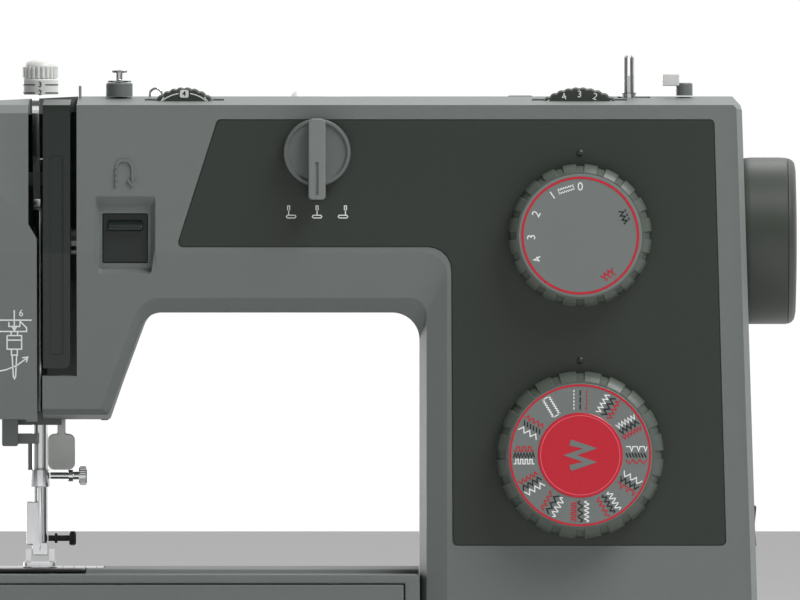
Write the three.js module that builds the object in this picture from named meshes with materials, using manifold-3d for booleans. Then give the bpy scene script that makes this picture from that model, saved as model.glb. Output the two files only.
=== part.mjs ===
// A mechanical household sewing machine with a free arm, in millimetres.
// +X points to the handwheel, -Y to the person sewing, +Z up.
// The origin lies on the table, under the middle of the machine's box.

import * as THREE from 'three';
import { mergeVertices } from 'three/addons/utils/BufferGeometryUtils.js';
import Module from 'manifold-3d';

const wasm = await Module();
wasm.setup();

// ---------------------------------------------------------------- driving dimensions

// Widths, from the left end of the head to the outer face of the handwheel.
const headOverhang = 54;
const reach = 168;
const columnWidth = 141.9;
const wheelProud = 24.9;

// Heights, from the table up.
const footHeight = 5.7;
const bedHeight = 87;
const throatHeight = 113.2;
const armHeight = 95.3;
const headDrop = 48.1;

// Depths. The needle line and the main shaft lie at Y = 0.
const frontDepth = 62;
const rearDepth = 77.5;
const baseDepthBehind = 78;
const dialProud = 16;

// Walls and clearances.
const wall = 3;
const fit = 0.3;
const run = 0.5;

// The casing.
const sideFlare = THREE.MathUtils.degToRad(1.8);
const coverBottom = 20;
const partingY = 2;
const crestY = -5;
const topSlopeDrop = 3.9;
const frontChamferDrop = 7.5;
const endChamfer = 3;
const headTopDrop = 3.6;
const throatRadius = 12;
const headThroatRadius = 9.5;

// Head and needle.
const slotLeft = 3.9;
const insertLeft = 1.9;
const insertRight = 14.6;
const slotRight = 17.1;
const insertBottomZ = 175.3;
const headOpenRight = 27;
const headOpenInset = 10;
const needleBarRadius = 3.15;
const presserBarRadius = 3.15;
const presserOffset = 13;
const needleTravel = 30;

// Controls.
const lengthDialRadius = 31.5;
const patternDialRadius = 36.8;
const dialGap = 28.2;
const dialInset = 70.6;
const lengthDialDrop = 61.3;
const dialShaftRadius = 5;
const positionKnobRadius = 14.9;
const positionKnobInset = 45.1;
const positionKnobDrop = 24.8;
const tensionDialRadius = 18.5;
const widthDialRadius = 26.6;
const thumbWheelY = -26;
const thumbWheelThick = 9;
const panelThick = 1;
const reverseWidth = 19.4;
const reverseHeight = 21.3;

// Drive.
const shaftDrop = 63.9;
const shaftRadius = 6;
const lowerShaftRadius = 4;
const wheelRadius = 36.9;
const beltPulleyRadius = 30;
const motorPulleyRadius = 7.5;
const timingPulleyRadius = 14;
const beltThick = 2;
const pulleyWidth = 7;
const crankRadius = needleTravel / 2;
const motorRadius = 26;
const hookRadius = 16.5;
const bobbinRadius = 10.3;

// Free arm, tray and base.
const freeArmFront = -42;
const freeArmRear = 40;
const freeArmOverhang = 32;
const freeArmNose = 16;
const plateThick = 1.8;
const trayBottom = 7;
const trayTopDrop = 2;
const trayCorner = 12;

// ---------------------------------------------------------------- places worked out from them

const overallWidth = headOverhang + reach + columnWidth + wheelProud;
const rightEnd = overallWidth / 2;
const leftEnd = -rightEnd;
const needleX = leftEnd + headOverhang;
const columnLeft = needleX + reach;
const casingRight = columnLeft + columnWidth;

const underside = bedHeight + throatHeight;
const topZ = underside + armHeight;
const headBottom = underside - headDrop;
const frontY = -frontDepth;
const rearY = rearDepth;

const shaftZ = topZ - shaftDrop;
const lengthDialX = columnLeft + dialInset;
const lengthDialZ = topZ - lengthDialDrop;
const patternDialZ = lengthDialZ - lengthDialRadius - dialGap - patternDialRadius;
const positionKnobX = columnLeft - positionKnobInset;
const positionKnobZ = topZ - positionKnobDrop;
const tensionDialX = needleX + 64.2;
const widthDialX = lengthDialX;
const thumbDialPeek = 4;
const reverseX = needleX + 38.4;
const reverseZ = topZ - 62.55;
const winderX = columnLeft + 92.6;
const winderY = -10;
const stopperX = winderX + 24.5;
const freeArmLeft = needleX - freeArmOverhang;
const hookY = -20;
const lowerShaftZ = 40;
const motorX = columnLeft + 34.4;
const motorLength = 66;
const motorY = -10;
const motorZ = topZ - 185.5;
const beltX = casingRight - 18.5;
const timingX = columnLeft + 10.4;
const framePlateY = 28;
const framePlateThick = 6;

// ---------------------------------------------------------------- making solids

function manifoldOf(geometry) {
  const bare = geometry.clone();
  bare.deleteAttribute('normal');
  bare.deleteAttribute('uv');
  const merged = mergeVertices(bare, 1e-4);
  const points = merged.attributes.position.array;
  const corners = merged.index.array;
  const kept = [];
  let volume = 0;
  for (let i = 0; i < corners.length; i += 3) {
    const [a, b, c] = [corners[i], corners[i + 1], corners[i + 2]];
    if (a === b || b === c || c === a) continue;
    const [va, vb, vc] = [a, b, c].map((v) => new THREE.Vector3().fromArray(points, 3 * v));
    volume += va.dot(vb.cross(vc));
    kept.push(a, b, c);
  }
  if (volume < 0) kept.reverse();
  return new wasm.Manifold(new wasm.Mesh({
    numProp: 3,
    vertProperties: new Float32Array(points),
    triVerts: new Uint32Array(kept),
  }));
}

function geometryOf(solid) {
  const mesh = solid.getMesh();
  const geometry = new THREE.BufferGeometry();
  const points = new Float32Array(mesh.vertProperties);
  geometry.setAttribute('position', new THREE.BufferAttribute(points, 3));
  geometry.setIndex(new THREE.BufferAttribute(new Uint32Array(mesh.triVerts), 1));
  geometry.computeVertexNormals();
  return geometry;
}

const join = (first, ...others) => others.reduce((whole, piece) => whole.add(piece), first);
const cut = (first, ...others) => others.reduce((whole, piece) => whole.subtract(piece), first);

function block([x0, x1], [y0, y1], [z0, z1]) {
  const geometry = new THREE.BoxGeometry(x1 - x0, y1 - y0, z1 - z0);
  geometry.translate((x0 + x1) / 2, (y0 + y1) / 2, (z0 + z1) / 2);
  return manifoldOf(geometry);
}

// The extrusion axis of each prism, with the two axes that its outline is drawn on.
const axisFrames = {
  x: new THREE.Matrix4().makeBasis(
    new THREE.Vector3(0, 1, 0), new THREE.Vector3(0, 0, 1), new THREE.Vector3(1, 0, 0)),
  y: new THREE.Matrix4().makeBasis(
    new THREE.Vector3(1, 0, 0), new THREE.Vector3(0, 0, 1), new THREE.Vector3(0, -1, 0)),
  z: new THREE.Matrix4(),
};

function prism(axis, shape, [from, to], { segments = 4, chamfer = 0 } = {}) {
  const geometry = new THREE.ExtrudeGeometry(shape, {
    depth: to - from - 2 * chamfer,
    curveSegments: segments,
    bevelEnabled: chamfer > 0,
    bevelThickness: chamfer,
    bevelSize: chamfer,
    bevelOffset: -chamfer,
    bevelSegments: 1,
  });
  geometry.translate(0, 0, chamfer + (axis === 'y' ? -to : from));
  geometry.applyMatrix4(axisFrames[axis]);
  return manifoldOf(geometry);
}

// A turned piece: the profile holds [radius, height] pairs along the axis.
function turned(axis, profile, segments = 20) {
  const points = profile.map(([radius, height]) => new THREE.Vector2(radius, height));
  const geometry = new THREE.LatheGeometry(points, segments);
  if (axis === 'x') geometry.rotateZ(-Math.PI / 2);
  if (axis === 'z') geometry.rotateX(Math.PI / 2);
  return manifoldOf(geometry);
}

function rod(axis, radius, [from, to], segments = 16) {
  return turned(axis, [[0, from], [radius, from], [radius, to], [0, to]], segments);
}

// An outline from corners [x, y, radius], each rounded by its own arc.
function outline(corners) {
  const shape = new THREE.Shape();
  corners.forEach(([x, y, radius = 0], i) => {
    const here = new THREE.Vector2(x, y);
    const [bx, by] = corners.at(i - 1);
    const [ax, ay] = corners[(i + 1) % corners.length];
    const back = new THREE.Vector2(bx, by).sub(here).normalize();
    const ahead = new THREE.Vector2(ax, ay).sub(here).normalize();
    const half = Math.acos(back.dot(ahead)) / 2;
    const start = here.clone().addScaledVector(back, radius / Math.tan(half));
    if (i === 0) shape.moveTo(start.x, start.y);
    else shape.lineTo(start.x, start.y);
    if (radius === 0) return;
    const end = here.clone().addScaledVector(ahead, radius / Math.tan(half));
    const centre = here.clone()
      .addScaledVector(back.clone().add(ahead).normalize(), radius / Math.sin(half));
    const angleOf = (point) => Math.atan2(point.y - centre.y, point.x - centre.x);
    shape.absarc(centre.x, centre.y, radius, angleOf(start), angleOf(end), back.cross(ahead) > 0);
  });
  return shape;
}

// The same corners moved inwards by a distance; the corners run anticlockwise.
function inset(corners, distance) {
  return corners.map(([x, y, radius = 0], i) => {
    const [bx, by] = corners.at(i - 1);
    const [ax, ay] = corners[(i + 1) % corners.length];
    const before = new THREE.Vector2(x - bx, y - by).normalize();
    const after = new THREE.Vector2(ax - x, ay - y).normalize();
    const turn = before.cross(after);
    const scale = distance / (1 + before.dot(after));
    const moved = radius - Math.sign(turn) * distance;
    return [
      x - (before.y + after.y) * scale,
      y + (before.x + after.x) * scale,
      radius === 0 ? 0 : Math.max(moved, 0),
    ];
  });
}

const rectangle = ([x0, x1], [y0, y1], r = 0) => [[x0, y0, r], [x1, y0, r], [x1, y1, r], [x0, y1, r]];

// ---------------------------------------------------------------- materials

const finish = (color, roughness, metalness = 0) =>
  () => new THREE.MeshStandardMaterial({ color, roughness, metalness });

const greyCasing = finish(0x6a706e, 0.55);
const darkPanel = finish(0x363b35, 0.5);
const dialPlastic = finish(0x4a514a, 0.5);
const redPlastic = finish(0xcb102f, 0.4);
const wheelPlastic = finish(0x4e534c, 0.45);
const whitePlastic = finish(0xe4e5e2, 0.4);
const chrome = finish(0xd8dadb, 0.15, 1);
const steel = finish(0x9a9c9e, 0.35, 1);
const castMetal = finish(0x5c5f61, 0.6, 0.8);
const blackRubber = finish(0x1c1c1c, 0.85);
const blackPlastic = finish(0x202221, 0.5);

const machine = new THREE.Group();
machine.name = 'sewing_machine';

// Adds one piece, drawn about its own place.
function piece(name, solid, material, place = [0, 0, 0], into = machine) {
  const mesh = new THREE.Mesh(geometryOf(solid), material());
  mesh.name = name;
  mesh.position.set(...place);
  into.add(mesh);
}

// ---------------------------------------------------------------- the casing

const sideX = (z) => casingRight + (topZ - topSlopeDrop - z) * Math.tan(sideFlare);

function casingCorners(upper) {
  const throatSlant = 17.8;
  const chamferZ = upper - topSlopeDrop;
  return [
    [columnLeft, coverBottom],
    [sideX(coverBottom), coverBottom],
    [sideX(chamferZ), chamferZ],
    [casingRight - 3.5, upper],
    [needleX + slotRight, upper],
    [leftEnd, upper - headTopDrop, 12],
    [leftEnd, headBottom, 5],
    [needleX + headOpenRight + wall, headBottom],
    [needleX + headOpenRight + wall + throatSlant, underside, headThroatRadius],
    [columnLeft, underside, throatRadius],
  ];
}

function casingShell() {
  const blank = prism('y', outline(casingCorners(topZ)), [frontY, rearY], { chamfer: endChamfer });
  const topSlope = prism('x', outline([
    [frontY - 1, topZ - frontChamferDrop - 1.2],
    [frontY + endChamfer, topZ - topSlopeDrop],
    [crestY, topZ],
    [crestY, topZ + 5],
    [frontY - 1, topZ + 5],
  ]), [leftEnd - 1, rightEnd]);
  const inner = inset(casingCorners(topZ - topSlopeDrop), wall);
  const cavity = prism('y', outline(inner), [frontY + wall, rearY - wall]);
  const openBottom = block(
    [columnLeft + wall, casingRight], [frontY + wall, rearY - wall], [coverBottom - 5, coverBottom + 10]);
  const headOpening = block(
    [leftEnd + wall + 1, needleX + headOpenRight],
    [frontY + headOpenInset, rearY - headOpenInset], [headBottom - 5, headBottom + 6]);
  const armPassage = block(
    [columnLeft - 5, columnLeft + wall + 2],
    [freeArmFront + wall, freeArmRear - wall], [coverBottom - 5, bedHeight - wall]);
  const wheelSeat = rod('x', wheelRadius + 5, [casingRight - 6, casingRight - 1.5], 28)
    .translate(0, 0, shaftZ);
  const wheelRecess = rod('x', wheelRadius + 1.3, [casingRight - 2.1, rightEnd], 28)
    .translate(0, 0, shaftZ);
  const shaftHole = rod('x', shaftRadius + 2, [casingRight - 10, casingRight + 10])
    .translate(0, 0, shaftZ);
  const hollow = cut(blank, topSlope, cavity, openBottom, headOpening, armPassage);
  return cut(join(hollow, wheelSeat), wheelRecess, shaftHole);
}

const shell = casingShell();
const farAway = 400;
const everyX = [-farAway, farAway];
const everyZ = [-farAway, farAway];

// The dark panel: an L over the arm and the column, let into the front.
function panelCorners() {
  const cornerRadius = 2.2;
  const bendRadius = 10.3;
  const sideMargin = 13.3;
  const upperZ = topZ - 10.5;
  const armLowerZ = topZ - 66.2;
  const lowerZ = 98;
  return [
    [columnLeft - 106.7, armLowerZ, cornerRadius],
    [columnLeft + 14.2, armLowerZ, bendRadius],
    [columnLeft + 14.8, lowerZ, cornerRadius],
    [sideX(lowerZ) - sideMargin, lowerZ, cornerRadius],
    [casingRight - 12.7, upperZ, cornerRadius],
    [columnLeft - 88.7, upperZ, cornerRadius],
  ];
}

const powerSwitchY = [-47, -31];
const powerSwitchZ = [97, 115];
const inletY = [-52, -24];
const inletZ = [50, 80];
const tensionDialZ = topZ + thumbDialPeek - tensionDialRadius;
const widthDialZ = topZ + thumbDialPeek - widthDialRadius;
const thumbSlotHalf = thumbWheelThick / 2 + run;
const winderTravel = 4.5;
const winderCollarRadius = 3.4;
const pressureStemRadius = 4;

// The slot in the top for a dial that stands half sunk.
function thumbWheelSlot(x, z, radius) {
  return rod('y', radius + run * 2, [thumbWheelY - thumbSlotHalf, thumbWheelY + thumbSlotHalf], 28)
    .translate(x, 0, z);
}

function makeFrontCover() {
  const frontHalf = block(everyX, [frontY - 1, partingY], everyZ);
  const insertSpace = block(
    [-farAway, needleX + slotRight], [-farAway, farAway], [insertBottomZ - 3.1, farAway]);
  const slotSpace = block([-farAway, needleX + insertLeft], [-farAway, farAway], everyZ);
  const pocket = prism(
    'y', outline(inset(panelCorners(), -fit)), [frontY - 5, frontY + panelThick + fit]);
  const shafts = [
    [lengthDialX, lengthDialZ], [lengthDialX, patternDialZ], [positionKnobX, positionKnobZ],
  ].map(([x, z]) => rod('y', dialShaftRadius + run, [frontY - 1, frontY + 10]).translate(x, 0, z));
  const reverseOpening = block(
    [reverseX - reverseWidth / 2 - 1.1, reverseX + reverseWidth / 2 + 0.8],
    [frontY - 5, frontY + 6],
    [reverseZ - reverseHeight / 2 - 2.7, reverseZ + reverseHeight / 2 + 4]);
  const winderSlot = block(
    [winderX - winderCollarRadius - run, winderX + winderCollarRadius + winderTravel + run],
    [winderY - winderCollarRadius - run, winderY + winderCollarRadius + run],
    [topZ - 12, topZ + 5]);
  const switchHole = block(
    [casingRight - 5, farAway],
    [powerSwitchY[0] - run, powerSwitchY[1] + run], [powerSwitchZ[0] - 1, powerSwitchZ[1] + 1]);
  const inletHole = block(
    [casingRight - 5, farAway],
    [inletY[0] - fit, inletY[1] + fit], [inletZ[0] - fit, inletZ[1] + fit]);
  piece('front_cover', cut(
    shell.intersect(frontHalf), insertSpace, slotSpace, pocket, ...shafts, reverseOpening,
    thumbWheelSlot(tensionDialX, tensionDialZ, tensionDialRadius),
    thumbWheelSlot(widthDialX, widthDialZ, widthDialRadius),
    winderSlot, switchHole, inletHole), greyCasing);
}

// The spool trough in the top, and the ledge that the carrying handle folds into.
const spoolY = 44;
const spoolZ = topZ - 12.5;
const troughHalf = 17;
const troughX = [columnLeft - 97.6, columnLeft + 51.6];
const troughFloor = topZ - 29.5;
const handleArmWidth = 8;
const handleX = [troughX[0] - 14, troughX[1] + 14];
const handleFront = spoolY + troughHalf + 3.5;
const handlePivotY = partingY + 32;
const handleRadius = 6.1;
const ledgeZ = topZ - 13;

function pressureStemHole() {
  return rod('z', pressureStemRadius + run, [topZ - 20, topZ + 5]).translate(needleX, presserOffset, 0);
}

function makeRearCover() {
  const rearHalf = block([needleX - slotLeft, farAway], [partingY + fit, farAway], everyZ);
  const upToTop = topZ + 5;
  const trough = block(troughX, [spoolY - troughHalf, spoolY + troughHalf], [troughFloor, upToTop]);
  const troughWalls = block(
    [troughX[0] - wall, troughX[1] + wall],
    [spoolY - troughHalf - wall, spoolY + troughHalf + wall], [troughFloor - wall, topZ - 1]);
  const ledge = block(handleX, [handleFront, farAway], [ledgeZ, upToTop]);
  const armRecessFront = handlePivotY - handleRadius - run;
  const armRecesses = [handleX[0], handleX[1] - handleArmWidth - 2 * run].map((x) => block(
    [x, x + handleArmWidth + 2 * run], [armRecessFront, handleFront + 1], [ledgeZ, upToTop]));
  const ledgeWalls = block(
    [handleX[0] - wall, handleX[1] + wall],
    [armRecessFront - wall, rearY - 0.5], [ledgeZ - wall, topZ - 1]);
  const lifterNotch = block(
    [needleX, needleX + headOpenRight + 8],
    [presserOffset + 5, presserOffset + 14], [headBottom - 5, headBottom + 1]);
  piece('rear_cover', cut(
    join(shell.intersect(rearHalf), troughWalls, ledgeWalls),
    trough, ledge, ...armRecesses, pressureStemHole(), lifterNotch), greyCasing);
}

function makeFaceCover() {
  const leftPart = block([-farAway, needleX - slotLeft - fit], everyX, everyZ);
  piece('face_cover', cut(shell.intersect(leftPart), pressureStemHole()), greyCasing);
}

function makeThreadInsert() {
  const bottom = insertBottomZ + 0.3;
  const upper = topZ - 4.1;
  const insertDepth = 18;
  const strip = prism('y', outline(rectangle(
    [needleX + insertLeft + fit, needleX + insertRight - fit], [bottom, upper], 3)),
  [frontY, frontY + insertDepth]);
  const tongue = block(
    [needleX + insertRight - 4, needleX + slotRight + 6],
    [frontY + wall + fit, frontY + wall + 5], [bottom + 25, upper - 25]);
  piece('thread_insert', join(strip, tongue), darkPanel);
}

function makePanel() {
  const plate = prism('y', outline(panelCorners()), [frontY, frontY + panelThick]);
  const shafts = [
    [lengthDialX, lengthDialZ], [lengthDialX, patternDialZ], [positionKnobX, positionKnobZ],
  ].map(([x, z]) => rod('y', dialShaftRadius + run, [frontY - 1, frontY + 10]).translate(x, 0, z));
  piece('control_panel', cut(plate, ...shafts), darkPanel);
}

// ---------------------------------------------------------------- free arm, base and tray

const plateX = [needleX - 27.3, needleX + 28.1];
const plateY = [-8, 31.7];
const bobbinCoverX = [needleX - 19.6, needleX + 20.4];
const dropLeverX = [needleX + 34, needleX + 42];
const dropLeverZ = [66, 72];
const dropLeverTravel = 12;
const feedBarMiddles = [needleX - 5.75, needleX + 5.75];
const feedBarHalf = 1.25;
const feedBarY = [-5, 9];

function makeFreeArm() {
  const edgeRadius = 6;
  const sides = [freeArmFront, freeArmRear];
  const heights = [coverBottom + fit, bedHeight];
  const profile = [
    [sides[0], heights[0]], [sides[1], heights[0]],
    [sides[1], heights[1], edgeRadius], [sides[0], heights[1], edgeRadius],
  ];
  const outer = prism('x', outline(profile), [freeArmLeft, columnLeft - fit]);
  const roundNose = prism('z', outline([
    [freeArmLeft, sides[0], freeArmNose], [columnLeft, sides[0]],
    [columnLeft, sides[1]], [freeArmLeft, sides[1], freeArmNose],
  ]), [0, bedHeight + 1]);
  const hollow = block(
    [freeArmLeft + wall, columnLeft + 1], [sides[0] + wall, sides[1] - wall], [0, bedHeight - wall]);
  const seatZ = bedHeight - plateThick - fit;
  const plateSeat = block(
    [plateX[0] - fit, plateX[1] + fit], [plateY[0], plateY[1] + fit], [seatZ, bedHeight + 1]);
  const coverSeat = block(
    [bobbinCoverX[0] - run, bobbinCoverX[1] + run],
    [sides[0] - 1, plateY[0] + 1], [seatZ, bedHeight + 1]);
  const well = block(
    [bobbinCoverX[0] + 2, bobbinCoverX[1] - 2],
    [sides[0] + wall, plateY[1] - 3], [bedHeight - 10, bedHeight]);
  const leverSlot = block(
    [dropLeverX[0] - run, dropLeverX[1] + dropLeverTravel + run],
    [sides[1] - wall - 1, sides[1] + 1], [dropLeverZ[0] - run, dropLeverZ[1] + run]);
  piece('free_arm_cover', cut(
    outer.intersect(roundNose), hollow, plateSeat, coverSeat, well, leverSlot), greyCasing);
}

function makeNeedlePlate() {
  const thickness = [bedHeight - plateThick, bedHeight];
  const cutThrough = [bedHeight - 5, bedHeight + 1];
  const plate = prism('z', outline(rectangle(plateX, [plateY[0] + fit, plateY[1]], 2)), thickness);
  const needleHole = prism('z', outline(
    rectangle([needleX - 3.8, needleX + 3.8], [-1.2, 1.2], 1.1)), cutThrough);
  const feedHoles = feedBarMiddles.map((middle) => block(
    [middle - feedBarHalf - 0.55, middle + feedBarHalf + 0.55],
    [feedBarY[0] - 1, feedBarY[1] + 2], cutThrough));
  piece('needle_plate', cut(plate, needleHole, ...feedHoles), steel);
}

function makeBobbinCover() {
  const plate = prism('z', outline(rectangle(bobbinCoverX, [freeArmFront + 1, plateY[0] - 0.2], 1.5)),
    [bedHeight - plateThick + 0.1, bedHeight]);
  piece('bobbin_cover', plate, blackPlastic);
}

function makeFeedDog() {
  const upper = bedHeight - 0.3;
  const base = block([needleX - 8, needleX + 8], [feedBarY[0], feedBarY[1] + 2], [upper - 10, upper - 7]);
  const needleHole = block([needleX - 3.5, needleX + 3.5], [-2.5, 2.5], [upper - 12, upper - 5]);
  const bars = feedBarMiddles.map((middle) => block(
    [middle - feedBarHalf, middle + feedBarHalf], feedBarY, [upper - 8, upper]));
  piece('feed_dog', cut(join(base, ...bars), needleHole), steel);
}

function makeDropFeedLever() {
  const lever = block(dropLeverX, [freeArmRear - 10, freeArmRear - 0.2], dropLeverZ);
  piece('drop_feed_lever', lever, blackPlastic);
}

function baseCorners() {
  return [
    [freeArmLeft, freeArmFront, freeArmNose],
    [columnLeft, freeArmFront],
    [columnLeft, frontY, 2],
    [sideX(0), frontY, 8],
    [sideX(0), baseDepthBehind, 8],
    [columnLeft, baseDepthBehind, 2],
    [columnLeft, freeArmRear],
    [freeArmLeft, freeArmRear, freeArmNose],
  ];
}

function makeBase() {
  const floorZ = footHeight + fit;
  const outer = prism('z', outline(baseCorners()), [floorZ, coverBottom - fit]);
  const inner = prism('z', outline(inset(baseCorners(), wall)), [floorZ + wall, coverBottom + 1]);
  piece('base_cover', cut(outer, inner), castMetal);
}

const feetPlaces = {
  foot_front_left: [freeArmLeft + 17, freeArmFront + 14],
  foot_rear_left: [freeArmLeft + 17, freeArmRear - 14],
  foot_front_right: [casingRight - 10, frontY + 17],
  foot_rear_right: [casingRight - 10, baseDepthBehind - 18],
};

function makeFeet() {
  for (const [name, [x, y]] of Object.entries(feetPlaces)) {
    const foot = turned('z', [[0, 0], [8, 0], [9.5, 1.5], [9, footHeight], [0, footHeight]], 20);
    piece(name, foot, blackRubber, [x, y, 0]);
  }
}

const trayTop = bedHeight - trayTopDrop;
const trayX = [leftEnd, columnLeft - run];
const lidX = [trayX[0] + 14, trayX[1] - 6];
const lidZ = [trayBottom + 4, trayTop - 4];
const lidThick = 2.6;
const lidFootGap = 0.8;

function makeTray() {
  const heights = [trayBottom, trayTop];
  const outer = prism('z', outline([
    [trayX[0], frontY, trayCorner], [trayX[1], frontY],
    [trayX[1], baseDepthBehind], [trayX[0], baseDepthBehind, trayCorner],
  ]), heights);
  const armSpace = block(
    [freeArmLeft - run, farAway], [freeArmFront - run, freeArmRear + run], [0, farAway]);
  const frontBox = block(lidX, [frontY - 5, freeArmFront - run - 2.5], lidZ);
  const leftHollow = block(
    [trayX[0] + wall, freeArmLeft - run - wall],
    [freeArmFront, baseDepthBehind - wall - 9], [0, trayTop - wall]);
  const rearHollow = block(
    [trayX[0] + wall + 9, trayX[1] - wall],
    [freeArmRear + run + wall, baseDepthBehind - wall], [0, trayTop - wall]);
  piece('accessory_tray', cut(outer, armSpace, frontBox, leftHollow, rearHollow), greyCasing);
}

function makeTrayLid() {
  const panel = block(
    [lidX[0] + run, lidX[1] - run], [frontY, frontY + lidThick],
    [lidZ[0] + lidFootGap, lidZ[1] - run]);
  piece('tray_lid', panel, greyCasing);
}

// ---------------------------------------------------------------- frame and drive

const guideX = [needleX - 9.6, needleX + 9.4];
const upperGuideZ = [topZ - 39.5, topZ - 33.5];
const lowerGuideZ = [headBottom - 2, headBottom + 4];
const bearingX = [needleX + 28, columnLeft - 9, casingRight - 33];
const lowerBearingX = [needleX + 40, columnLeft - 16];
const bearingWidth = 8;

function makeFrame() {
  const plateDepth = [framePlateY, framePlateY + framePlateThick];
  const armPlate = block([guideX[0], casingRight - 25], plateDepth, [shaftZ - 18, upperGuideZ[1]]);
  const columnPlate = block([columnLeft + 32, columnLeft + 92], plateDepth, [24, upperGuideZ[1]]);
  const bedPlate = block([freeArmLeft + 10, columnLeft + 92], plateDepth, [24, 60]);
  const upperGuide = block(guideX, [-8, framePlateY + 1], upperGuideZ);
  const lowerGuide = block(guideX, [-6, presserOffset + 4.5], lowerGuideZ);
  const guideWeb = block(
    [guideX[0], guideX[0] + 3], [-6, presserOffset + 4], [lowerGuideZ[0], upperGuideZ[1]]);
  const bearings = bearingX.map((x) => block(
    [x, x + bearingWidth], [-10, framePlateY + 1], [shaftZ - 10, shaftZ + 10]));
  const lowerBearings = lowerBearingX.map((x) => block(
    [x, x + bearingWidth], [hookY - 10, framePlateY + 1], [lowerShaftZ - 10, lowerShaftZ + 10]));
  const shaftBore = rod('x', shaftRadius + run, everyX).translate(0, 0, shaftZ);
  const lowerBore = rod('x', lowerShaftRadius + run, everyX).translate(0, hookY, lowerShaftZ);
  const barBores = [[0, needleBarRadius], [presserOffset, presserBarRadius]].map(([y, radius]) =>
    rod('z', radius + run, everyZ).translate(needleX, y, 0));
  const frame = join(armPlate, columnPlate, bedPlate, upperGuide, lowerGuide, guideWeb,
    ...bearings, ...lowerBearings);
  piece('inner_frame', cut(frame, shaftBore, lowerBore, ...barBores), castMetal);
}

function makeMainShaft() {
  piece('main_shaft', rod('x', shaftRadius, [needleX + 13.3, casingRight - 1.8]), steel, [0, 0, shaftZ]);
}

function makeHandwheel() {
  const from = casingRight - 1.5;
  const edge = 4;
  const profile = [
    [0, from], [wheelRadius - 3, from], [wheelRadius, from + 3],
    [wheelRadius, rightEnd - edge], [wheelRadius - 1.2, rightEnd - 1.2], [wheelRadius - edge, rightEnd],
    [0, rightEnd],
  ];
  piece('handwheel', turned('x', profile, 32), wheelPlastic, [0, 0, shaftZ]);
}

function grooved(radius, width, bore, flange = 2) {
  return turned('x', [
    [bore, 0], [radius, 0], [radius, flange / 2], [radius - flange, flange],
    [radius - flange, width - flange], [radius, width - flange / 2], [radius, width],
    [bore, width], [bore, 0],
  ], 24);
}

function makeDrivePulley() {
  const timingFace = turned('x', [
    [shaftRadius + fit, 0], [timingPulleyRadius, 0], [timingPulleyRadius, pulleyWidth],
    [shaftRadius + fit, pulleyWidth], [shaftRadius + fit, 0],
  ]);
  piece('drive_pulley', grooved(beltPulleyRadius, pulleyWidth, shaftRadius + fit), blackPlastic,
    [beltX, 0, shaftZ]);
  piece('timing_pulley', timingFace, steel, [timingX, 0, shaftZ]);
}

function makeCrank() {
  const disc = rod('x', crankRadius + 4, [8, 13], 20);
  const pin = rod('x', 3, [4.2, 9], 12).translate(0, 0, crankRadius);
  piece('crank_disc', join(disc, pin), steel, [needleX, 0, shaftZ]);
}

// A flat loop round two pulleys, drawn on the Y-Z plane.
function beltLoop(radiusA, [ya, za], radiusB, [yb, zb]) {
  const distance = Math.hypot(yb - ya, zb - za);
  const heading = Math.atan2(zb - za, yb - ya);
  const spread = Math.acos((radiusA - radiusB) / distance);
  const shape = new THREE.Shape();
  shape.absarc(ya, za, radiusA, heading + spread, heading - spread + 2 * Math.PI, false);
  shape.absarc(yb, zb, radiusB, heading - spread, heading + spread, false);
  return shape;
}

function makeBelt(name, x, radii, places) {
  const [first, second] = radii;
  const outside = fit + beltThick;
  const loop = prism('x', beltLoop(first + outside, places[0], second + outside, places[1]),
    [x, x + pulleyWidth], { segments: 8 });
  const inside = prism('x', beltLoop(first + fit, places[0], second + fit, places[1]),
    [x - 1, x + pulleyWidth + 1], { segments: 8 });
  piece(name, cut(loop, inside), blackRubber);
}

function makeMotor() {
  piece('motor', turned('x', [
    [0, 0], [motorRadius - 4, 0], [motorRadius, 4], [motorRadius, motorLength - 4],
    [motorRadius - 4, motorLength], [0, motorLength],
  ], 20), steel, [motorX, motorY, motorZ]);
  const shaft = rod('x', 3, [motorX + motorLength + run, beltX + pulleyWidth], 16);
  const pulley = rod('x', motorPulleyRadius, [beltX, beltX + pulleyWidth], 16);
  piece('motor_pulley', join(shaft, pulley), steel, [0, motorY, motorZ]);
}

function makeLowerShaft() {
  const shaft = rod('x', lowerShaftRadius, [needleX + 15, timingX + pulleyWidth + 2]);
  const gear = turned('x', [
    [0, needleX + 11.4], [6, needleX + 11.4], [8, needleX + 15], [8, needleX + 18], [0, needleX + 18],
  ]);
  const pulley = rod('x', timingPulleyRadius, [timingX, timingX + pulleyWidth]);
  piece('lower_shaft', join(shaft, gear, pulley), steel, [0, hookY, lowerShaftZ]);
}

const hookFloor = 52;

function makeHook() {
  const rim = 70;
  piece('rotary_hook', turned('z', [
    [0, 35], [3, 35], [3, 48.6], [10, 48.6], [10, 50.8], [hookRadius, hookFloor], [hookRadius, rim],
    [hookRadius - 1.5, rim], [hookRadius - 1.5, hookFloor + 2], [0, hookFloor + 2],
  ], 24), steel, [needleX, hookY, 0]);
  const caseRadius = hookRadius - 1.5 - run;
  piece('bobbin_case', turned('z', [
    [0, hookFloor + 2.5], [caseRadius, hookFloor + 2.5], [caseRadius, rim + 6],
    [bobbinRadius + 1, rim + 6], [bobbinRadius + 1, hookFloor + 4.5], [0, hookFloor + 4.5],
  ], 20), blackPlastic, [needleX, hookY, 0]);
  const low = hookFloor + 5;
  piece('bobbin', turned('z', [
    [3, low], [bobbinRadius, low], [bobbinRadius, low + 1], [4.5, low + 1], [4.5, low + 10.5],
    [bobbinRadius, low + 10.5], [bobbinRadius, low + 11.5], [3, low + 11.5], [3, low],
  ], 20), whitePlastic, [needleX, hookY, 0]);
}

// ---------------------------------------------------------------- needle and thread pieces

const clampZ = [122.6, 130.4];

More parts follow.
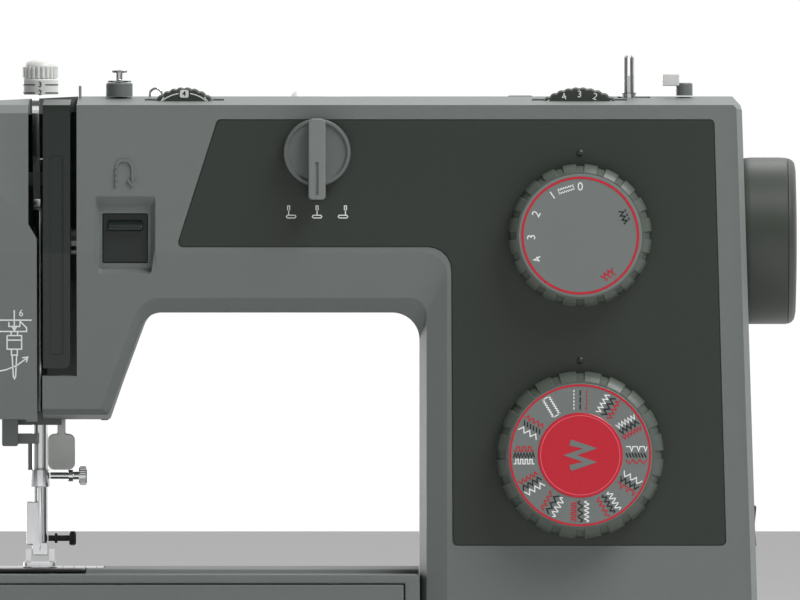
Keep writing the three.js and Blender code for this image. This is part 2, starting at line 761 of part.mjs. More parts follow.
function makeNeedleBar() {
  const bar = rod('z', needleBarRadius, [clampZ[1] + fit, upperGuideZ[1] + 6]);
  piece('needle_bar', bar, chrome, [needleX, 0, 0]);
  const clamp = rod('z', 4.3, clampZ, 20);
  piece('needle_clamp', clamp, chrome, [needleX, 0, 0]);
  const screwProfile = [
    [0, 4.6], [2.5, 4.6], [2.5, 11], [1.75, 11], [1.75, 17], [3.9, 17], [3.9, 20.8], [0, 20.8],
  ];
  piece('needle_clamp_screw', turned('x', screwProfile, 16), chrome, [needleX, 0, clampZ[0] + 5]);
  const tipZ = bedHeight + 7;
  const needle = turned('z', [
    [0, tipZ], [0.45, tipZ + 4], [0.45, clampZ[0] - 12], [1, clampZ[0] - 9],
    [1, clampZ[0] - fit], [0, clampZ[0] - fit],
  ], 12);
  piece('needle', needle, chrome, [needleX, 0, 0]);
}

const takeUpPivot = [-12, topZ - 45.5];
const takeUpEye = [-50, topZ - 4.5];

function makeTakeUp() {
  const thickness = [needleX - 2.6, needleX + 0.4];
  const [py, pz] = takeUpPivot;
  const [ey, ez] = takeUpEye;
  const hub = rod('x', 5, thickness, 20).translate(0, py, pz);
  const arm = prism('x', outline([
    [py - 4, pz - 1], [py + 3, pz + 4], [ey + 3, ez + 1.5], [ey - 3, ez + 1.5], [ey - 3, ez - 3],
  ]), thickness);
  const eye = rod('x', 3.5, thickness, 16).translate(0, ey, ez);
  const eyeHole = rod('x', 1.2, everyX, 12).translate(0, ey, ez);
  piece('take_up_lever', cut(join(hub, arm, eye), eyeHole), chrome);
}

const footHingeY = 7;
const footHingeZ = bedHeight + 6.4;

function makePresser() {
  const barBottom = 97.5;
  piece('presser_bar', rod('z', presserBarRadius, [barBottom, upperGuideZ[1] + 4]), chrome,
    [needleX, presserOffset, 0]);
  const holderY = [5, presserOffset - presserBarRadius - fit];
  const shank = block([needleX - 6, needleX + 1], holderY, [96.9, 116]);
  const neck = block([needleX - 3.5, needleX + 3.5], holderY, [footHingeZ - 1.2, 98]);
  piece('foot_holder', join(shank, neck), chrome);
  const screw = turned('x', [
    [0, 3.5], [2, 3.5], [2, 12.5], [3.15, 12.5], [3.15, 15.8], [0, 15.8],
  ], 16);
  piece('foot_thumbscrew', screw, blackPlastic, [needleX, presserOffset, 99.7]);
}

function makePresserFoot() {
  const soleZ = [bedHeight + 0.6, bedHeight + 2.4];
  const sole = prism('z', outline(rectangle([needleX - 7, needleX + 7], [-13, 9], 2)), soleZ);
  const needleSlot = prism('z', outline(rectangle([needleX - 4, needleX + 4], [-3, 2], 1.2)),
    [bedHeight, bedHeight + 4]);
  const lugs = [-1, 1].map((side) => block(
    [needleX + side * 5.2 - 1.2, needleX + side * 5.2 + 1.2],
    [footHingeY - 3, footHingeY + 2], [soleZ[0], footHingeZ + 1.5]));
  piece('presser_foot', join(cut(sole, needleSlot), ...lugs), chrome);
}

const lifterPivot = [needleX + 9.4, headBottom + 11];
const lifterY = [presserOffset + 7, presserOffset + 10];

function makeLifter() {
  const [px, pz] = lifterPivot;
  const paddleZ = [headBottom - 22.2, headBottom - 6.2];
  const hub = rod('y', 4.5, lifterY, 20).translate(px, 0, pz);
  const neck = block([px - 2, px + 1.6], lifterY, [paddleZ[1] - 2, pz]);
  const paddle = prism('y', outline(rectangle([px - 6.3, px + 5.8], paddleZ, 3)), lifterY);
  piece('presser_lifter', join(hub, neck, paddle), whitePlastic);
}

function makeThreader() {
  const leverY = [-12, -6.5];
  const lever = prism('y', outline([
    [needleX - 16.6, headBottom - 11.3, 1], [needleX - 9.5, headBottom - 11.3, 1],
    [needleX - 9.5, headBottom + 0.5], [needleX - 16.6, headBottom + 0.5],
  ]), leverY);
  const stem = rod('z', 1.6, [headBottom, headBottom + 48], 12).translate(needleX - 13, -9.2, 0);
  const arm = block([needleX - 10, needleX - 1.4], [-9.5, -7], [headBottom - 10.3, headBottom - 5.7]);
  const hookRod = rod('z', 1, [headBottom - 21.9, headBottom - 6], 12).translate(needleX - 4.2, -8.2, 0);
  piece('needle_threader', join(lever, stem, arm, hookRod), blackPlastic);
}

// ---------------------------------------------------------------- dials, knobs and levers

// A control dial on a short shaft through the front; its face looks along -Y.
function frontDial(name, radius, proud, x, z, material) {
  const back = frontY - 1.2;
  const face = frontY - proud;
  const shaftEnd = frontY + 9;
  piece(name, turned('y', [
    [0, face], [radius - 5, face], [radius - 1.5, face + 2.5], [radius, face + 5], [radius, back],
    [dialShaftRadius, back], [dialShaftRadius, shaftEnd], [0, shaftEnd],
  ], 32), material, [x, 0, z]);
}

function makePositionKnob() {
  const back = -1.2;
  const disc = turned('y', [
    [0, -8], [positionKnobRadius - 1.5, -8], [positionKnobRadius, -6.5], [positionKnobRadius, back],
    [dialShaftRadius, back], [dialShaftRadius, 9], [0, 9],
  ], 32);
  const grip = prism(
    'y', outline(rectangle([-3.8, 3.8], [-20.8, positionKnobRadius], 2)), [-13, back - 1]);
  piece('needle_position_knob', join(disc, grip), dialPlastic, [positionKnobX, frontY, positionKnobZ]);
}

function makeThumbWheels() {
  const half = thumbWheelThick / 2;
  for (const [name, radius, x, z] of [
    ['tension_dial', tensionDialRadius, tensionDialX, tensionDialZ],
    ['width_dial', widthDialRadius, widthDialX, widthDialZ],
  ]) {
    const wheel = turned('y', [
      [0, -half - 4], [4, -half - 4], [4, -half], [radius, -half], [radius, half], [4, half],
      [4, half + 4], [0, half + 4],
    ], 28);
    piece(name, wheel, dialPlastic, [x, thumbWheelY, z]);
  }
}

function makePressureDial() {
  const seat = topZ + 0.8;
  piece('pressure_dial', turned('z', [
    [0, topZ - 14], [pressureStemRadius, topZ - 14], [pressureStemRadius, seat], [8, seat],
    [8, topZ + 13.3], [6.5, topZ + 15.4], [0, topZ + 16.2],
  ], 24), whitePlastic, [needleX, presserOffset, 0]);
}

const reverseArmLength = 36;

function makeReverseLever() {
  const sides = [reverseX - reverseWidth / 2, reverseX + reverseWidth / 2];
  const heights = [reverseZ - reverseHeight / 2, reverseZ + reverseHeight / 2];
  const button = block(sides, [frontY + 1.5, frontY + 7], heights);
  const ridge = block([sides[0] + 1.4, sides[1] - 2.3], [frontY - 1, frontY + 2],
    [reverseZ + 3.65, reverseZ + 8.05]);
  const arm = block(
    [reverseX - 3, reverseX + 3], [frontY + 6, frontY + reverseArmLength],
    [reverseZ - 4, reverseZ + 4]);
  piece('reverse_lever', join(button, ridge, arm), darkPanel);
}

function makeBobbinWinder() {
  const armZ = [topZ - 16, topZ - 13];
  const collar = turned('z', [
    [1.9, armZ[0]], [winderCollarRadius, armZ[0]], [winderCollarRadius, topZ + 1.6],
    [1.9, topZ + 1.6], [1.9, armZ[0]],
  ], 20).translate(winderX, winderY, 0);
  const arm = cut(
    block([winderX - 10, winderX + 14], [winderY - 5, winderY + 5], armZ),
    rod('z', 3, [armZ[0] - 1, armZ[1] + 1]).translate(winderX, winderY, 0));
  piece('winder_arm', join(collar, arm), blackPlastic);
  piece('winder_spindle', turned('z', [
    [0, topZ - 26], [7.5, topZ - 26], [7.5, topZ - 20], [1.5, topZ - 20], [1.5, topZ + 2],
    [2.6, topZ + 2], [2.6, topZ + 17.3], [1.8, topZ + 18.1], [0, topZ + 18.1],
  ], 20), chrome, [winderX, winderY, 0]);
  const post = rod('z', 3.7, [topZ + 0.3, topZ + 4.7], 20);
  const stop = block([-9.6, -3], [-4, 4], [topZ + 4.6, topZ + 9.9]);
  const tie = block([-6, 0], [-2.5, 2.5], [topZ + 2.5, topZ + 6]);
  piece('winder_stopper', join(post, stop, tie), whitePlastic, [stopperX, winderY, 0]);
}

function makeSpoolPin() {
  const holderX = [troughX[1] - 12.8, troughX[1] - 0.8];
  const holder = block(holderX, [spoolY - 6, spoolY + 6], [troughFloor + fit, topZ + 0.5]);
  const pin = rod('x', 3, [troughX[0] + 39, holderX[0] + 1], 20).translate(0, spoolY, spoolZ);
  piece('spool_pin', join(holder, pin), whitePlastic);
  const capFrom = troughX[0] + 40.5;
  piece('spool_cap', turned('x', [
    [3.5, 0], [13.5, 0], [15.4, 2.5], [13, 30.9], [3.5, 30.9], [3.5, 0],
  ], 24), whitePlastic, [capFrom, spoolY, spoolZ]);
}

function makeHandle() {
  const heights = [ledgeZ + run, ledgeZ + run + 2 * handleRadius];
  const middleZ = ledgeZ + run + handleRadius;
  const ends = [handleX[0] + run, handleX[1] - run];
  const barFront = handleFront + 6;
  const bar = block(ends, [barFront, rearY], heights);
  const arms = [ends[0], ends[1] - handleArmWidth].map((x) => join(
    block([x, x + handleArmWidth], [handlePivotY, barFront + 1], heights),
    rod('x', handleRadius, [x, x + handleArmWidth], 20).translate(0, handlePivotY, middleZ)));
  piece('carrying_handle', join(bar, ...arms), blackPlastic);
}

function makeThreadGuides() {
  piece('bobbin_thread_guide', turned('z', [
    [0, topZ - 0.2], [5.9, topZ - 0.2], [5.9, topZ + 5.8], [2, topZ + 5.8],
    [2, topZ + 7.6], [5.1, topZ + 7.6], [5.1, topZ + 9], [2, topZ + 9],
    [2, topZ + 11.7], [0, topZ + 11.7],
  ], 24), chrome, [needleX + 35.3, -14, 0]);
  const loop = new THREE.CatmullRomCurve3([
    new THREE.Vector3(-2.5, 0, topZ - 0.2), new THREE.Vector3(-2.5, 0, topZ + 2),
    new THREE.Vector3(0, 0, topZ + 3.6), new THREE.Vector3(2.5, 0, topZ + 2),
    new THREE.Vector3(2.5, 0, topZ - 0.2),
  ]);
  const section = new THREE.Shape();
  section.absarc(0, 0, 0.6, 0, 2 * Math.PI, false);
  const wire = new THREE.ExtrudeGeometry(section, { steps: 16, extrudePath: loop, curveSegments: 4 });
  piece('wire_thread_guide', manifoldOf(wire), chrome, [needleX + 51.4, -14, 0]);
}

// ---------------------------------------------------------------- power and light

const switchPivot = [sideX(106) - 2.8, (powerSwitchZ[0] + powerSwitchZ[1]) / 2];

function makePower() {
  const [px, pz] = switchPivot;
  const half = (powerSwitchZ[1] - powerSwitchZ[0]) / 2;
  piece('power_switch', prism('y', outline([
    [px - 2, pz - half], [px + 3.6, pz - half], [px + 2.8, pz], [px + 3.6, pz + half],
    [px - 2, pz + half],
  ]), powerSwitchY), blackPlastic);
  const middle = sideX((inletZ[0] + inletZ[1]) / 2);
  const body = block([middle - 17, middle - 0.4], inletY, inletZ);
  const socket = block(
    [middle - 13, middle + 5], [inletY[0] + 4, inletY[1] - 4], [inletZ[0] + 6, inletZ[1] - 6]);
  piece('power_inlet', cut(body, socket), blackPlastic);
}

function makeLamp() {
  piece('lamp', turned('z', [
    [0, headBottom + 13], [5, headBottom + 14.5], [8, headBottom + 19],
    [8, headBottom + 34], [0, headBottom + 34],
  ], 20), whitePlastic, [needleX - 28, 20, 0]);
}

// ---------------------------------------------------------------- the whole machine

makeFrontCover();
makeRearCover();
makeFaceCover();
makeThreadInsert();
makePanel();
makeFreeArm();
makeNeedlePlate();
makeBobbinCover();
makeFeedDog();
makeDropFeedLever();
makeBase();
makeFeet();
makeTray();
makeTrayLid();
makeFrame();
makeMainShaft();
makeHandwheel();
makeDrivePulley();
makeCrank();
makeBelt('drive_belt', beltX, [beltPulleyRadius, motorPulleyRadius], [[0, shaftZ], [motorY, motorZ]]);
makeBelt('timing_belt', timingX, [timingPulleyRadius, timingPulleyRadius],
  [[0, shaftZ], [hookY, lowerShaftZ]]);
makeMotor();
makeLowerShaft();
makeHook();
makeNeedleBar();
makeTakeUp();
makePresser();
makePresserFoot();
makeLifter();
makeThreader();
frontDial('length_dial', lengthDialRadius, dialProud - 2, lengthDialX, lengthDialZ, dialPlastic);
frontDial('pattern_dial', patternDialRadius, dialProud, lengthDialX, patternDialZ, redPlastic);
makePositionKnob();
makeThumbWheels();
makePressureDial();
makeReverseLever();
makeBobbinWinder();
makeSpoolPin();
makeHandle();
makeThreadGuides();
makePower();
makeLamp();

export default machine;
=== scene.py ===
import math

import bmesh
import bpy
from mathutils import Matrix, Vector


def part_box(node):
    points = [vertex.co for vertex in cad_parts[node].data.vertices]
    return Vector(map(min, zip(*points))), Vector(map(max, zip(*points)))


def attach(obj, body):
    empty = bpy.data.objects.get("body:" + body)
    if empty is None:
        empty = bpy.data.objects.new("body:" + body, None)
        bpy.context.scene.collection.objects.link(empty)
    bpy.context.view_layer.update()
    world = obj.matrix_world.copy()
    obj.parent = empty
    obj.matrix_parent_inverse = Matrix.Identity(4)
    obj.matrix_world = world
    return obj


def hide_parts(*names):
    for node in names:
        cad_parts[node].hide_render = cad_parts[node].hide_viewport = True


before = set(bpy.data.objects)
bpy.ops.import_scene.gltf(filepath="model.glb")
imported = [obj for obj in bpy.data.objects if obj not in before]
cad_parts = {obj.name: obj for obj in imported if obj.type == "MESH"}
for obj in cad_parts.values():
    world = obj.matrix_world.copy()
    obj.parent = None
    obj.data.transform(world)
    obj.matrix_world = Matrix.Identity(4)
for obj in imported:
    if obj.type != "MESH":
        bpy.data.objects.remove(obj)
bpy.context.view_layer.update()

# ---------------------------------------------------------------- camera and light
# The machine stands on a pale studio floor and is looked at straight from the front, from
# just above, through a long lens. The places of the casing come from the frame, in millimetres.


def corners_of(node):
    low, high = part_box(node)
    return low * 1000, high * 1000


def middle_of(node):
    low, high = corners_of(node)
    return (low + high) / 2


front = corners_of("front_cover")[0].y
top = corners_of("front_cover")[1].z
needle_x = middle_of("needle").x
column_left = corners_of("free_arm_cover")[1].x + 0.3

scene = bpy.context.scene
scene.view_settings.view_transform = "Standard"
aim = Vector((column_left - 8.6, front, top - 89.7)) / 1000
distance = 10
elevation = math.radians(0.4)
camera = bpy.data.objects.new("camera", bpy.data.cameras.new("camera"))
scene.collection.objects.link(camera)
view_width = 0.352
camera.data.lens = camera.data.sensor_width * distance / view_width
camera.data.clip_end = 60
camera.location = aim + distance * Vector((0, -math.cos(elevation), math.sin(elevation)))
camera.rotation_euler = (math.pi / 2 - elevation, 0, 0)
scene.camera = camera

# The backdrop is white behind the machine and dim in front of it, so that the edges turned
# towards it catch the light. One large soft light stands in front, high on the right.
world = bpy.data.worlds.new("studio")
scene.world = world
world.use_nodes = True
shades = world.node_tree.nodes
facing = shades.new("ShaderNodeTexCoord")
split = shades.new("ShaderNodeSeparateXYZ")
fade = shades.new("ShaderNodeMapRange")
for name, value in (("From Min", -0.3), ("From Max", 0.5), ("To Min", 0.12), ("To Max", 1.02)):
    fade.inputs[name].default_value = value
world.node_tree.links.new(facing.outputs["Generated"], split.inputs[0])
world.node_tree.links.new(split.outputs["Y"], fade.inputs["Value"])
world.node_tree.links.new(fade.outputs[0], shades["Background"].inputs["Strength"])
shades["Background"].inputs["Color"].default_value = (1, 1, 1, 1)


def soft_light(name, direction, reach, size, power):
    lamp = bpy.data.objects.new(name, bpy.data.lights.new(name, "AREA"))
    scene.collection.objects.link(lamp)
    lamp.data.shape = "RECTANGLE"
    lamp.data.size, lamp.data.size_y = size
    lamp.data.energy = power
    lamp.location = Vector((0.02, -0.06, 0.18)) + Vector(direction).normalized() * reach
    lamp.rotation_euler = (-Vector(direction)).to_track_quat("-Z", "Y").to_euler()
    lamp.visible_camera = False


soft_light("key_light", (1.2, -1, 2), 2.5, (1.3, 1.3), 60)
soft_light("front_fill", (0, -1, 0.02), 2.2, (3, 0.8), 3.5)
soft_light("top_light", (0.3, 1, 1.3), 2.2, (1.6, 0.8), 10)
soft_light("throat_light", (-0.55, 1, 0.05), 1.8, (0.8, 0.8), 12)


# ---------------------------------------------------------------- grey casing plastic
# The covers are injection moulded in a mid grey plastic, with a fine spark-eroded grain
# in the tool and a faint unevenness of the colour.


class Wire:
    """One shader socket, so that shader maths reads as a plain expression."""

    def __init__(self, finish, socket):
        self.finish, self.socket = finish, socket

    def __add__(self, other):
        return self.finish.maths("ADD", self, other)

    def __sub__(self, other):
        return self.finish.maths("SUBTRACT", self, other)

    def __mul__(self, other):
        return self.finish.maths("MULTIPLY", self, other)

    __radd__ = __add__


class Finish:
    """A material with its node tree."""

    def __init__(self, name):
        self.material = bpy.data.materials.new(name)
        self.material.use_nodes = True
        self.tree = self.material.node_tree
        self.shader = self.tree.nodes["Principled BSDF"]
        self.place = self.node("TexCoord", out="Object")

    def fill(self, socket, value):
        if isinstance(value, Wire):
            self.tree.links.new(value.socket, socket)
        elif isinstance(value, tuple) and len(value) == 3 and len(socket.default_value) == 4:
            socket.default_value = (*value, 1)
        else:
            socket.default_value = value

    def node(self, kind, settings={}, values={}, out=0):
        made = self.tree.nodes.new("ShaderNode" + kind)
        for key, value in settings.items():
            setattr(made, key, value)
        for key, value in values.items():
            self.fill(made.inputs[key], value)
        return Wire(self, made.outputs[out])

    def maths(self, operation, *values):
        return self.node("Math", {"operation": operation}, dict(enumerate(values)))

    def noise(self, scale, detail=2.0, stretch=(1, 1, 1)):
        spread = self.node("Mapping", {}, {"Vector": self.place, "Scale": stretch})
        return self.node("TexNoise", {}, {"Vector": spread, "Scale": scale, "Detail": detail})

    def mix(self, factor, first, second):
        values = {0: factor, 6: first, 7: second}
        return self.node("Mix", {"data_type": "RGBA"}, values, out=2)

    def bump(self, height, strength):
        values = {"Height": height, "Strength": strength, "Distance": 0.0002}
        return self.node("Bump", {}, values)

    def surface(self, **values):
        for key, value in values.items():
            self.fill(self.shader.inputs[key.replace("_", " ")], value)
        return self.material


def linear(*levels):
    """A colour given as 0 to 255 levels, as the linear values that shaders use."""
    return tuple(
        v / 12.92 if v <= 0.04045 else ((v + 0.055) / 1.055) ** 2.4
        for v in (level / 255 for level in levels))


def moulded(name, colour, roughness=0.5, grain=0.25, unevenness=0.05):
    finish = Finish(name)
    cloud = finish.noise(14, 3)
    pits = finish.noise(2400, 2)
    darker = tuple(c * (1 - unevenness) for c in colour)
    lighter = tuple(c * (1 + unevenness) for c in colour)
    return finish.surface(
        Base_Color=finish.mix(cloud, darker, lighter),
        Roughness=roughness + (pits - 0.5) * 0.12 + (cloud - 0.5) * 0.08,
        Normal=finish.bump(pits, grain))


casing_grey = moulded("casing_grey", linear(107, 113, 111), 0.5)


# ---------------------------------------------------------------- front cover
# The front half of the casing, one grey moulding 3 mm thick. Its lower front leans back
# below a crease, and a bevel runs round the throat. Slots let the dials through the top.


def arc(cx, cy, radius, start, end, steps=8):
    angles = [math.radians(start + (end - start) * i / steps) for i in range(steps + 1)]
    return [(cx + radius * math.cos(a), cy + radius * math.sin(a)) for a in angles]


def rounded(corners, steps=6):
    """Corners (x, y, radius), with each radius as an arc of points."""
    points = []
    for i, (x, y, radius) in enumerate(corners):
        here = Vector((x, y))
        if radius == 0:
            points.append((x, y))
            continue
        back = (Vector(corners[i - 1][:2]) - here).normalized()
        ahead = (Vector(corners[(i + 1) % len(corners)][:2]) - here).normalized()
        half = back.angle(ahead) / 2
        centre = here + (back + ahead).normalized() * radius / math.sin(half)
        first = here + back * radius / math.tan(half) - centre
        turn = (math.pi - 2 * half) * (1 if back.cross(ahead) < 0 else -1)
        for k in range(steps + 1):
            points.append(tuple(centre + Matrix.Rotation(turn * k / steps, 2) @ first))
    return points


def place_on(axis, u, v, along):
    return {"x": (along, u, v), "y": (u, along, v), "z": (u, v, along)}[axis]


def outwards(bm):
    bmesh.ops.recalc_face_normals(bm, faces=bm.faces)
    return bm


def closed_edges(bm, verts):
    return [bm.edges.new(pair) for pair in zip(verts, verts[1:] + verts[:1])]


def prism(points, start, end, axis="y", into=None):
    """A solid with the outline of these points, from start to end along the axis."""
    bm = into or bmesh.new()
    verts = [bm.verts.new(place_on(axis, u, v, start)) for u, v in points]
    face = bmesh.ops.contextual_create(bm, geom=closed_edges(bm, verts))["faces"]
    grown = bmesh.ops.extrude_face_region(bm, geom=face, use_keep_orig=True)["geom"]
    shift = Vector(place_on(axis, 0, 0, end - start))
    bmesh.ops.translate(
        bm, vec=shift, verts=[v for v in grown if isinstance(v, bmesh.types.BMVert)])
    return outwards(bm)


def brick(xs, ys, zs, into=None):
    return prism([(xs[0], zs[0]), (xs[1], zs[0]), (xs[1], zs[1]), (xs[0], zs[1])], *ys, into=into)


def turned(profile, axis, centre, steps=64, into=None):
    """A solid of revolution: the profile holds (radius, place along the axis) pairs."""
    bm = into or bmesh.new()
    before = set(bm.verts)
    verts = [bm.verts.new((radius, 0, along)) for radius, along in profile]
    edges = [bm.edges.new(pair) for pair in zip(verts, verts[1:])]
    bmesh.ops.spin(
        bm, geom=verts + edges, cent=(0, 0, 0), axis=(0, 0, 1), angle=math.tau, steps=steps,
        use_merge=True)
    made = [v for v in bm.verts if v not in before]
    bmesh.ops.remove_doubles(bm, verts=made, dist=0.0005)
    made = [v for v in bm.verts if v not in before]
    turn = {
        "x": Matrix.Rotation(math.pi / 2, 3, "Y"), "y": Matrix.Rotation(-math.pi / 2, 3, "X"),
        "z": Matrix.Identity(3)}[axis]
    bmesh.ops.transform(bm, matrix=Matrix.Translation(centre) @ turn.to_4x4(), verts=made)
    return outwards(bm)


def rod(axis, centre, radius, start, end, steps=32, into=None):
    return turned([(0, start), (radius, start), (radius, end), (0, end)], axis, centre, steps, into)


def as_object(bm, name="part"):
    mesh = bpy.data.meshes.new(name)
    bm.to_mesh(mesh)
    bm.free()
    made = bpy.data.objects.new(name, mesh)
    scene.collection.objects.link(made)
    return made


def carve(bm, *tools, operation="DIFFERENCE"):
    """The solid with each tool taken from it, or joined to it."""
    whole = as_object(bm)
    helpers = [as_object(tool) for tool in tools]
    for helper in helpers:
        step = whole.modifiers.new("carve", "BOOLEAN")
        step.operation, step.object, step.solver = operation, helper, "EXACT"
    seen = whole.evaluated_get(bpy.context.evaluated_depsgraph_get())
    result = bmesh.new()
    result.from_mesh(seen.to_mesh())
    for used in (whole, *helpers):
        bpy.data.meshes.remove(used.data)
    return result


def soften(bm, width, angle=28):
    """Rounds every edge that is sharper than the angle."""
    bmesh.ops.remove_doubles(bm, verts=bm.verts, dist=0.002)
    bmesh.ops.dissolve_limit(bm, angle_limit=math.radians(0.5), verts=bm.verts, edges=bm.edges)
    sharp = [
        e for e in bm.edges if len(e.link_faces) == 2
        and e.calc_face_angle(0) > math.radians(angle)]
    bmesh.ops.bevel(
        bm, geom=sharp, offset=width, offset_type="OFFSET", affect="EDGES", segments=2, profile=0.5,
        material=-1, clamp_overlap=True)
    return bm


def piece(name, bm, material, body, replaces=(), smooth=35):
    """A finished piece, scaled from millimetres, that rides on its body."""
    bmesh.ops.scale(bm, vec=(0.001, 0.001, 0.001), verts=bm.verts)
    made = as_object(bm, name)
    made.data.materials.append(material)
    made.data.shade_smooth()
    made.data.set_sharp_from_angle(angle=math.radians(smooth))
    flats = made.modifiers.new("flat_faces_stay_flat", "WEIGHTED_NORMAL")
    flats.keep_sharp = True
    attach(made, body)
    if replaces:
        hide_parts(*replaces)


wall = 3
parting = corners_of("front_cover")[1].y
floor_z = corners_of("front_cover")[0].z
side_bottom = corners_of("front_cover")[1].x
side_slope = math.tan(math.radians(1.8))
slot_right = needle_x + 17.1
link_top = corners_of("thread_insert")[0].z - 3.4
slot_left_wall = needle_x + 1.9
crease = top - 69
lean = 0.17
arm_bevel = 6.5
arm_under = corners_of("free_arm_cover")[1].z + 113.2
head_under = arm_under - 48.1


def on_face(z):
    """How deep the leaning front of the casing lies at a height."""
    return front + lean * max(0, crease - z)


def radius_of(node):
    low, high = corners_of(node)
    return (high.z - low.z) / 2


def side_x(z):
    return side_bottom - (z - floor_z) * side_slope


def throat_path(offset_head, offset_bottom, offset_arm, offset_column, radius_head, radius_column):
    """The open edge round the throat, moved into the casing by an offset on each side."""
    slant = Vector((17.8, 48.1)).normalized()
    outwards = Vector((-slant.y, slant.x))
    foot = Vector((needle_x + 30, head_under)) + outwards * offset_head
    at = lambda z: foot.x + (z - foot.y) * slant.x / slant.y
    bottom, upper = head_under + 3 + offset_bottom, arm_under + offset_arm
    column = column_left + offset_column
    corners = [
        (slot_left_wall, bottom, 0), (at(bottom), bottom, 1.5), (at(upper), upper, radius_head),
        (column, upper, radius_column), (column, floor_z, 0)]
    return rounded(corners, steps=12)


def loop(bm, points, depth):
    """An open line of vertices; depth is a number or a function of the height."""
    verts = [bm.verts.new((x, depth(z) if callable(depth) else depth, z)) for x, z in points]
    return [bm.edges.new(pair) for pair in zip(verts, verts[1:])]


def front_skin():
    bm = bmesh.new()
    inner = throat_path(4.4, 2.6, arm_bevel, 3.1, 12, 7.5)
    outer = throat_path(0, 0, 0, 0, 9.5, 12)
    below_bevel = arm_under + arm_bevel - 0.1
    bevel_depth = lambda z: on_face(z if z < below_bevel else max(z, arm_under + arm_bevel))
    bevel_edge = loop(bm, inner, bevel_depth)
    for v in {v for e in bevel_edge for v in e.verts if v.co.x > column_left - 15}:
        v.co.y = on_face(arm_under + arm_bevel)
    silhouette = loop(bm, outer, 0)
    for near, far in zip(bevel_edge, silhouette):
        for a, b in zip(near.verts, far.verts):
            down_column = min(1, max(0, arm_under - b.co.z) / 12)
            b.co.y = a.co.y + 5 + (4 * down_column if b.co.x > column_left - 13 else 0)
    bmesh.ops.bridge_loops(bm, edges=bevel_edge + silhouette)
    under_head = lambda x, z: z < head_under + 5 and x < column_left - 30
    back = loop(bm, [(x, z - 2.6 if under_head(x, z) else z) for x, z in outer], parting)
    bmesh.ops.bridge_loops(bm, edges=silhouette + back)
    face_strip = column_left + 12.1
    bend = arc(face_strip - 10, crease - 10, 10, 90, 0, 12)
    crease_line = loop(bm, [(slot_right, crease), *bend, (face_strip, floor_z)], front)
    inner_line = [e.verts[0] for e in bevel_edge] + [bevel_edge[-1].verts[1]]
    crease_verts = [e.verts[0] for e in crease_line] + [crease_line[-1].verts[1]]
    bmesh.ops.bridge_loops(bm, edges=crease_line[1:] + bevel_edge[-13:])
    slot_foot = [
        bm.verts.new((x, on_face(link_top), link_top)) for x in (slot_left_wall, slot_right)]
    bm.faces.new([crease_verts[0], crease_verts[1], *reversed(inner_line[:-13]), *slot_foot])
    upper, foot = side_x(288), side_x(floor_z)
    corner = [(slot_right, top), (upper - 3.6, top), (upper, top - 3.9), (foot, floor_z)]
    edge_loops = ((
        [
            (slot_right, top - 7.5), (upper - 7.7, top - 7.5), (upper - 6.6, top - 8.6),
            (foot - 6.6, floor_z)], front),
        ([
            (slot_right, top - 3.9), (upper - 4, top - 3.9), (upper - 2.6, top - 5.4),
            (foot - 2.6, floor_z)], front - 0.4),
        ([
            (slot_right, top - 3.5), (upper - 2.7, top - 3.5), (upper, top - 6.2), (foot, floor_z)],
            front + 9), (corner, -5), (corner, parting))
    lines = [loop(bm, points, depth) for points, depth in edge_loops]
    for near, far in zip(lines, lines[1:]):
        bmesh.ops.bridge_loops(bm, edges=near + far)
    rim = [e.verts[0] for e in lines[0]] + [lines[0][-1].verts[1]]
    bm.faces.new([*crease_verts, *reversed(rim)])
    bmesh.ops.remove_doubles(bm, verts=bm.verts, dist=0.001)
    bmesh.ops.solidify(outwards(bm), geom=bm.faces, thickness=wall)
    return outwards(bm)


def panel_outline(grow=0):
    low_z, arm_low, high = 98 - grow, top - 66.2 - grow, top - 10.5 + grow
    return rounded([
        (column_left - 106.7 - grow * 1.2, arm_low, 2.2),
        (column_left + 14.2 - grow, arm_low, 10.3), (column_left + 14.8 - grow, low_z, 2.2),
        (side_x(low_z) - 13.3 + grow, low_z, 2.2), (side_x(high) - 12.7 + grow, high, 2.2),
        (column_left - 88.7 - grow, high, 2.2)], steps=5)


wheel = middle_of("handwheel")
wheel_low, wheel_high = corners_of("handwheel")
wheel_radius = radius_of("handwheel")
reverse_low, reverse_high = corners_of("reverse_lever")
tension, width_dial = middle_of("tension_dial"), middle_of("width_dial")
tension_radius = radius_of("tension_dial")
width_radius = radius_of("width_dial")
winder = middle_of("winder_spindle")
switch_low, switch_high = corners_of("power_switch")
inlet_low, inlet_high = corners_of("power_inlet")
through_top = (top - 12, top + 6)


def thumb_slot(centre, radius):
    half_y = 5.6
    half_x = math.sqrt(radius ** 2 - (top - 3 - centre.z) ** 2) + 3
    return brick(
        (centre.x - half_x, centre.x + half_x), (centre.y - half_y, centre.y + half_y),
        through_top)


def side_opening(low, high, across, upright):
    """A cut through the right side round a box, with these gaps."""
    return brick(
        (low.x - 3, 220), (low.y - across, high.y + across), (low.z - upright, high.z + upright))


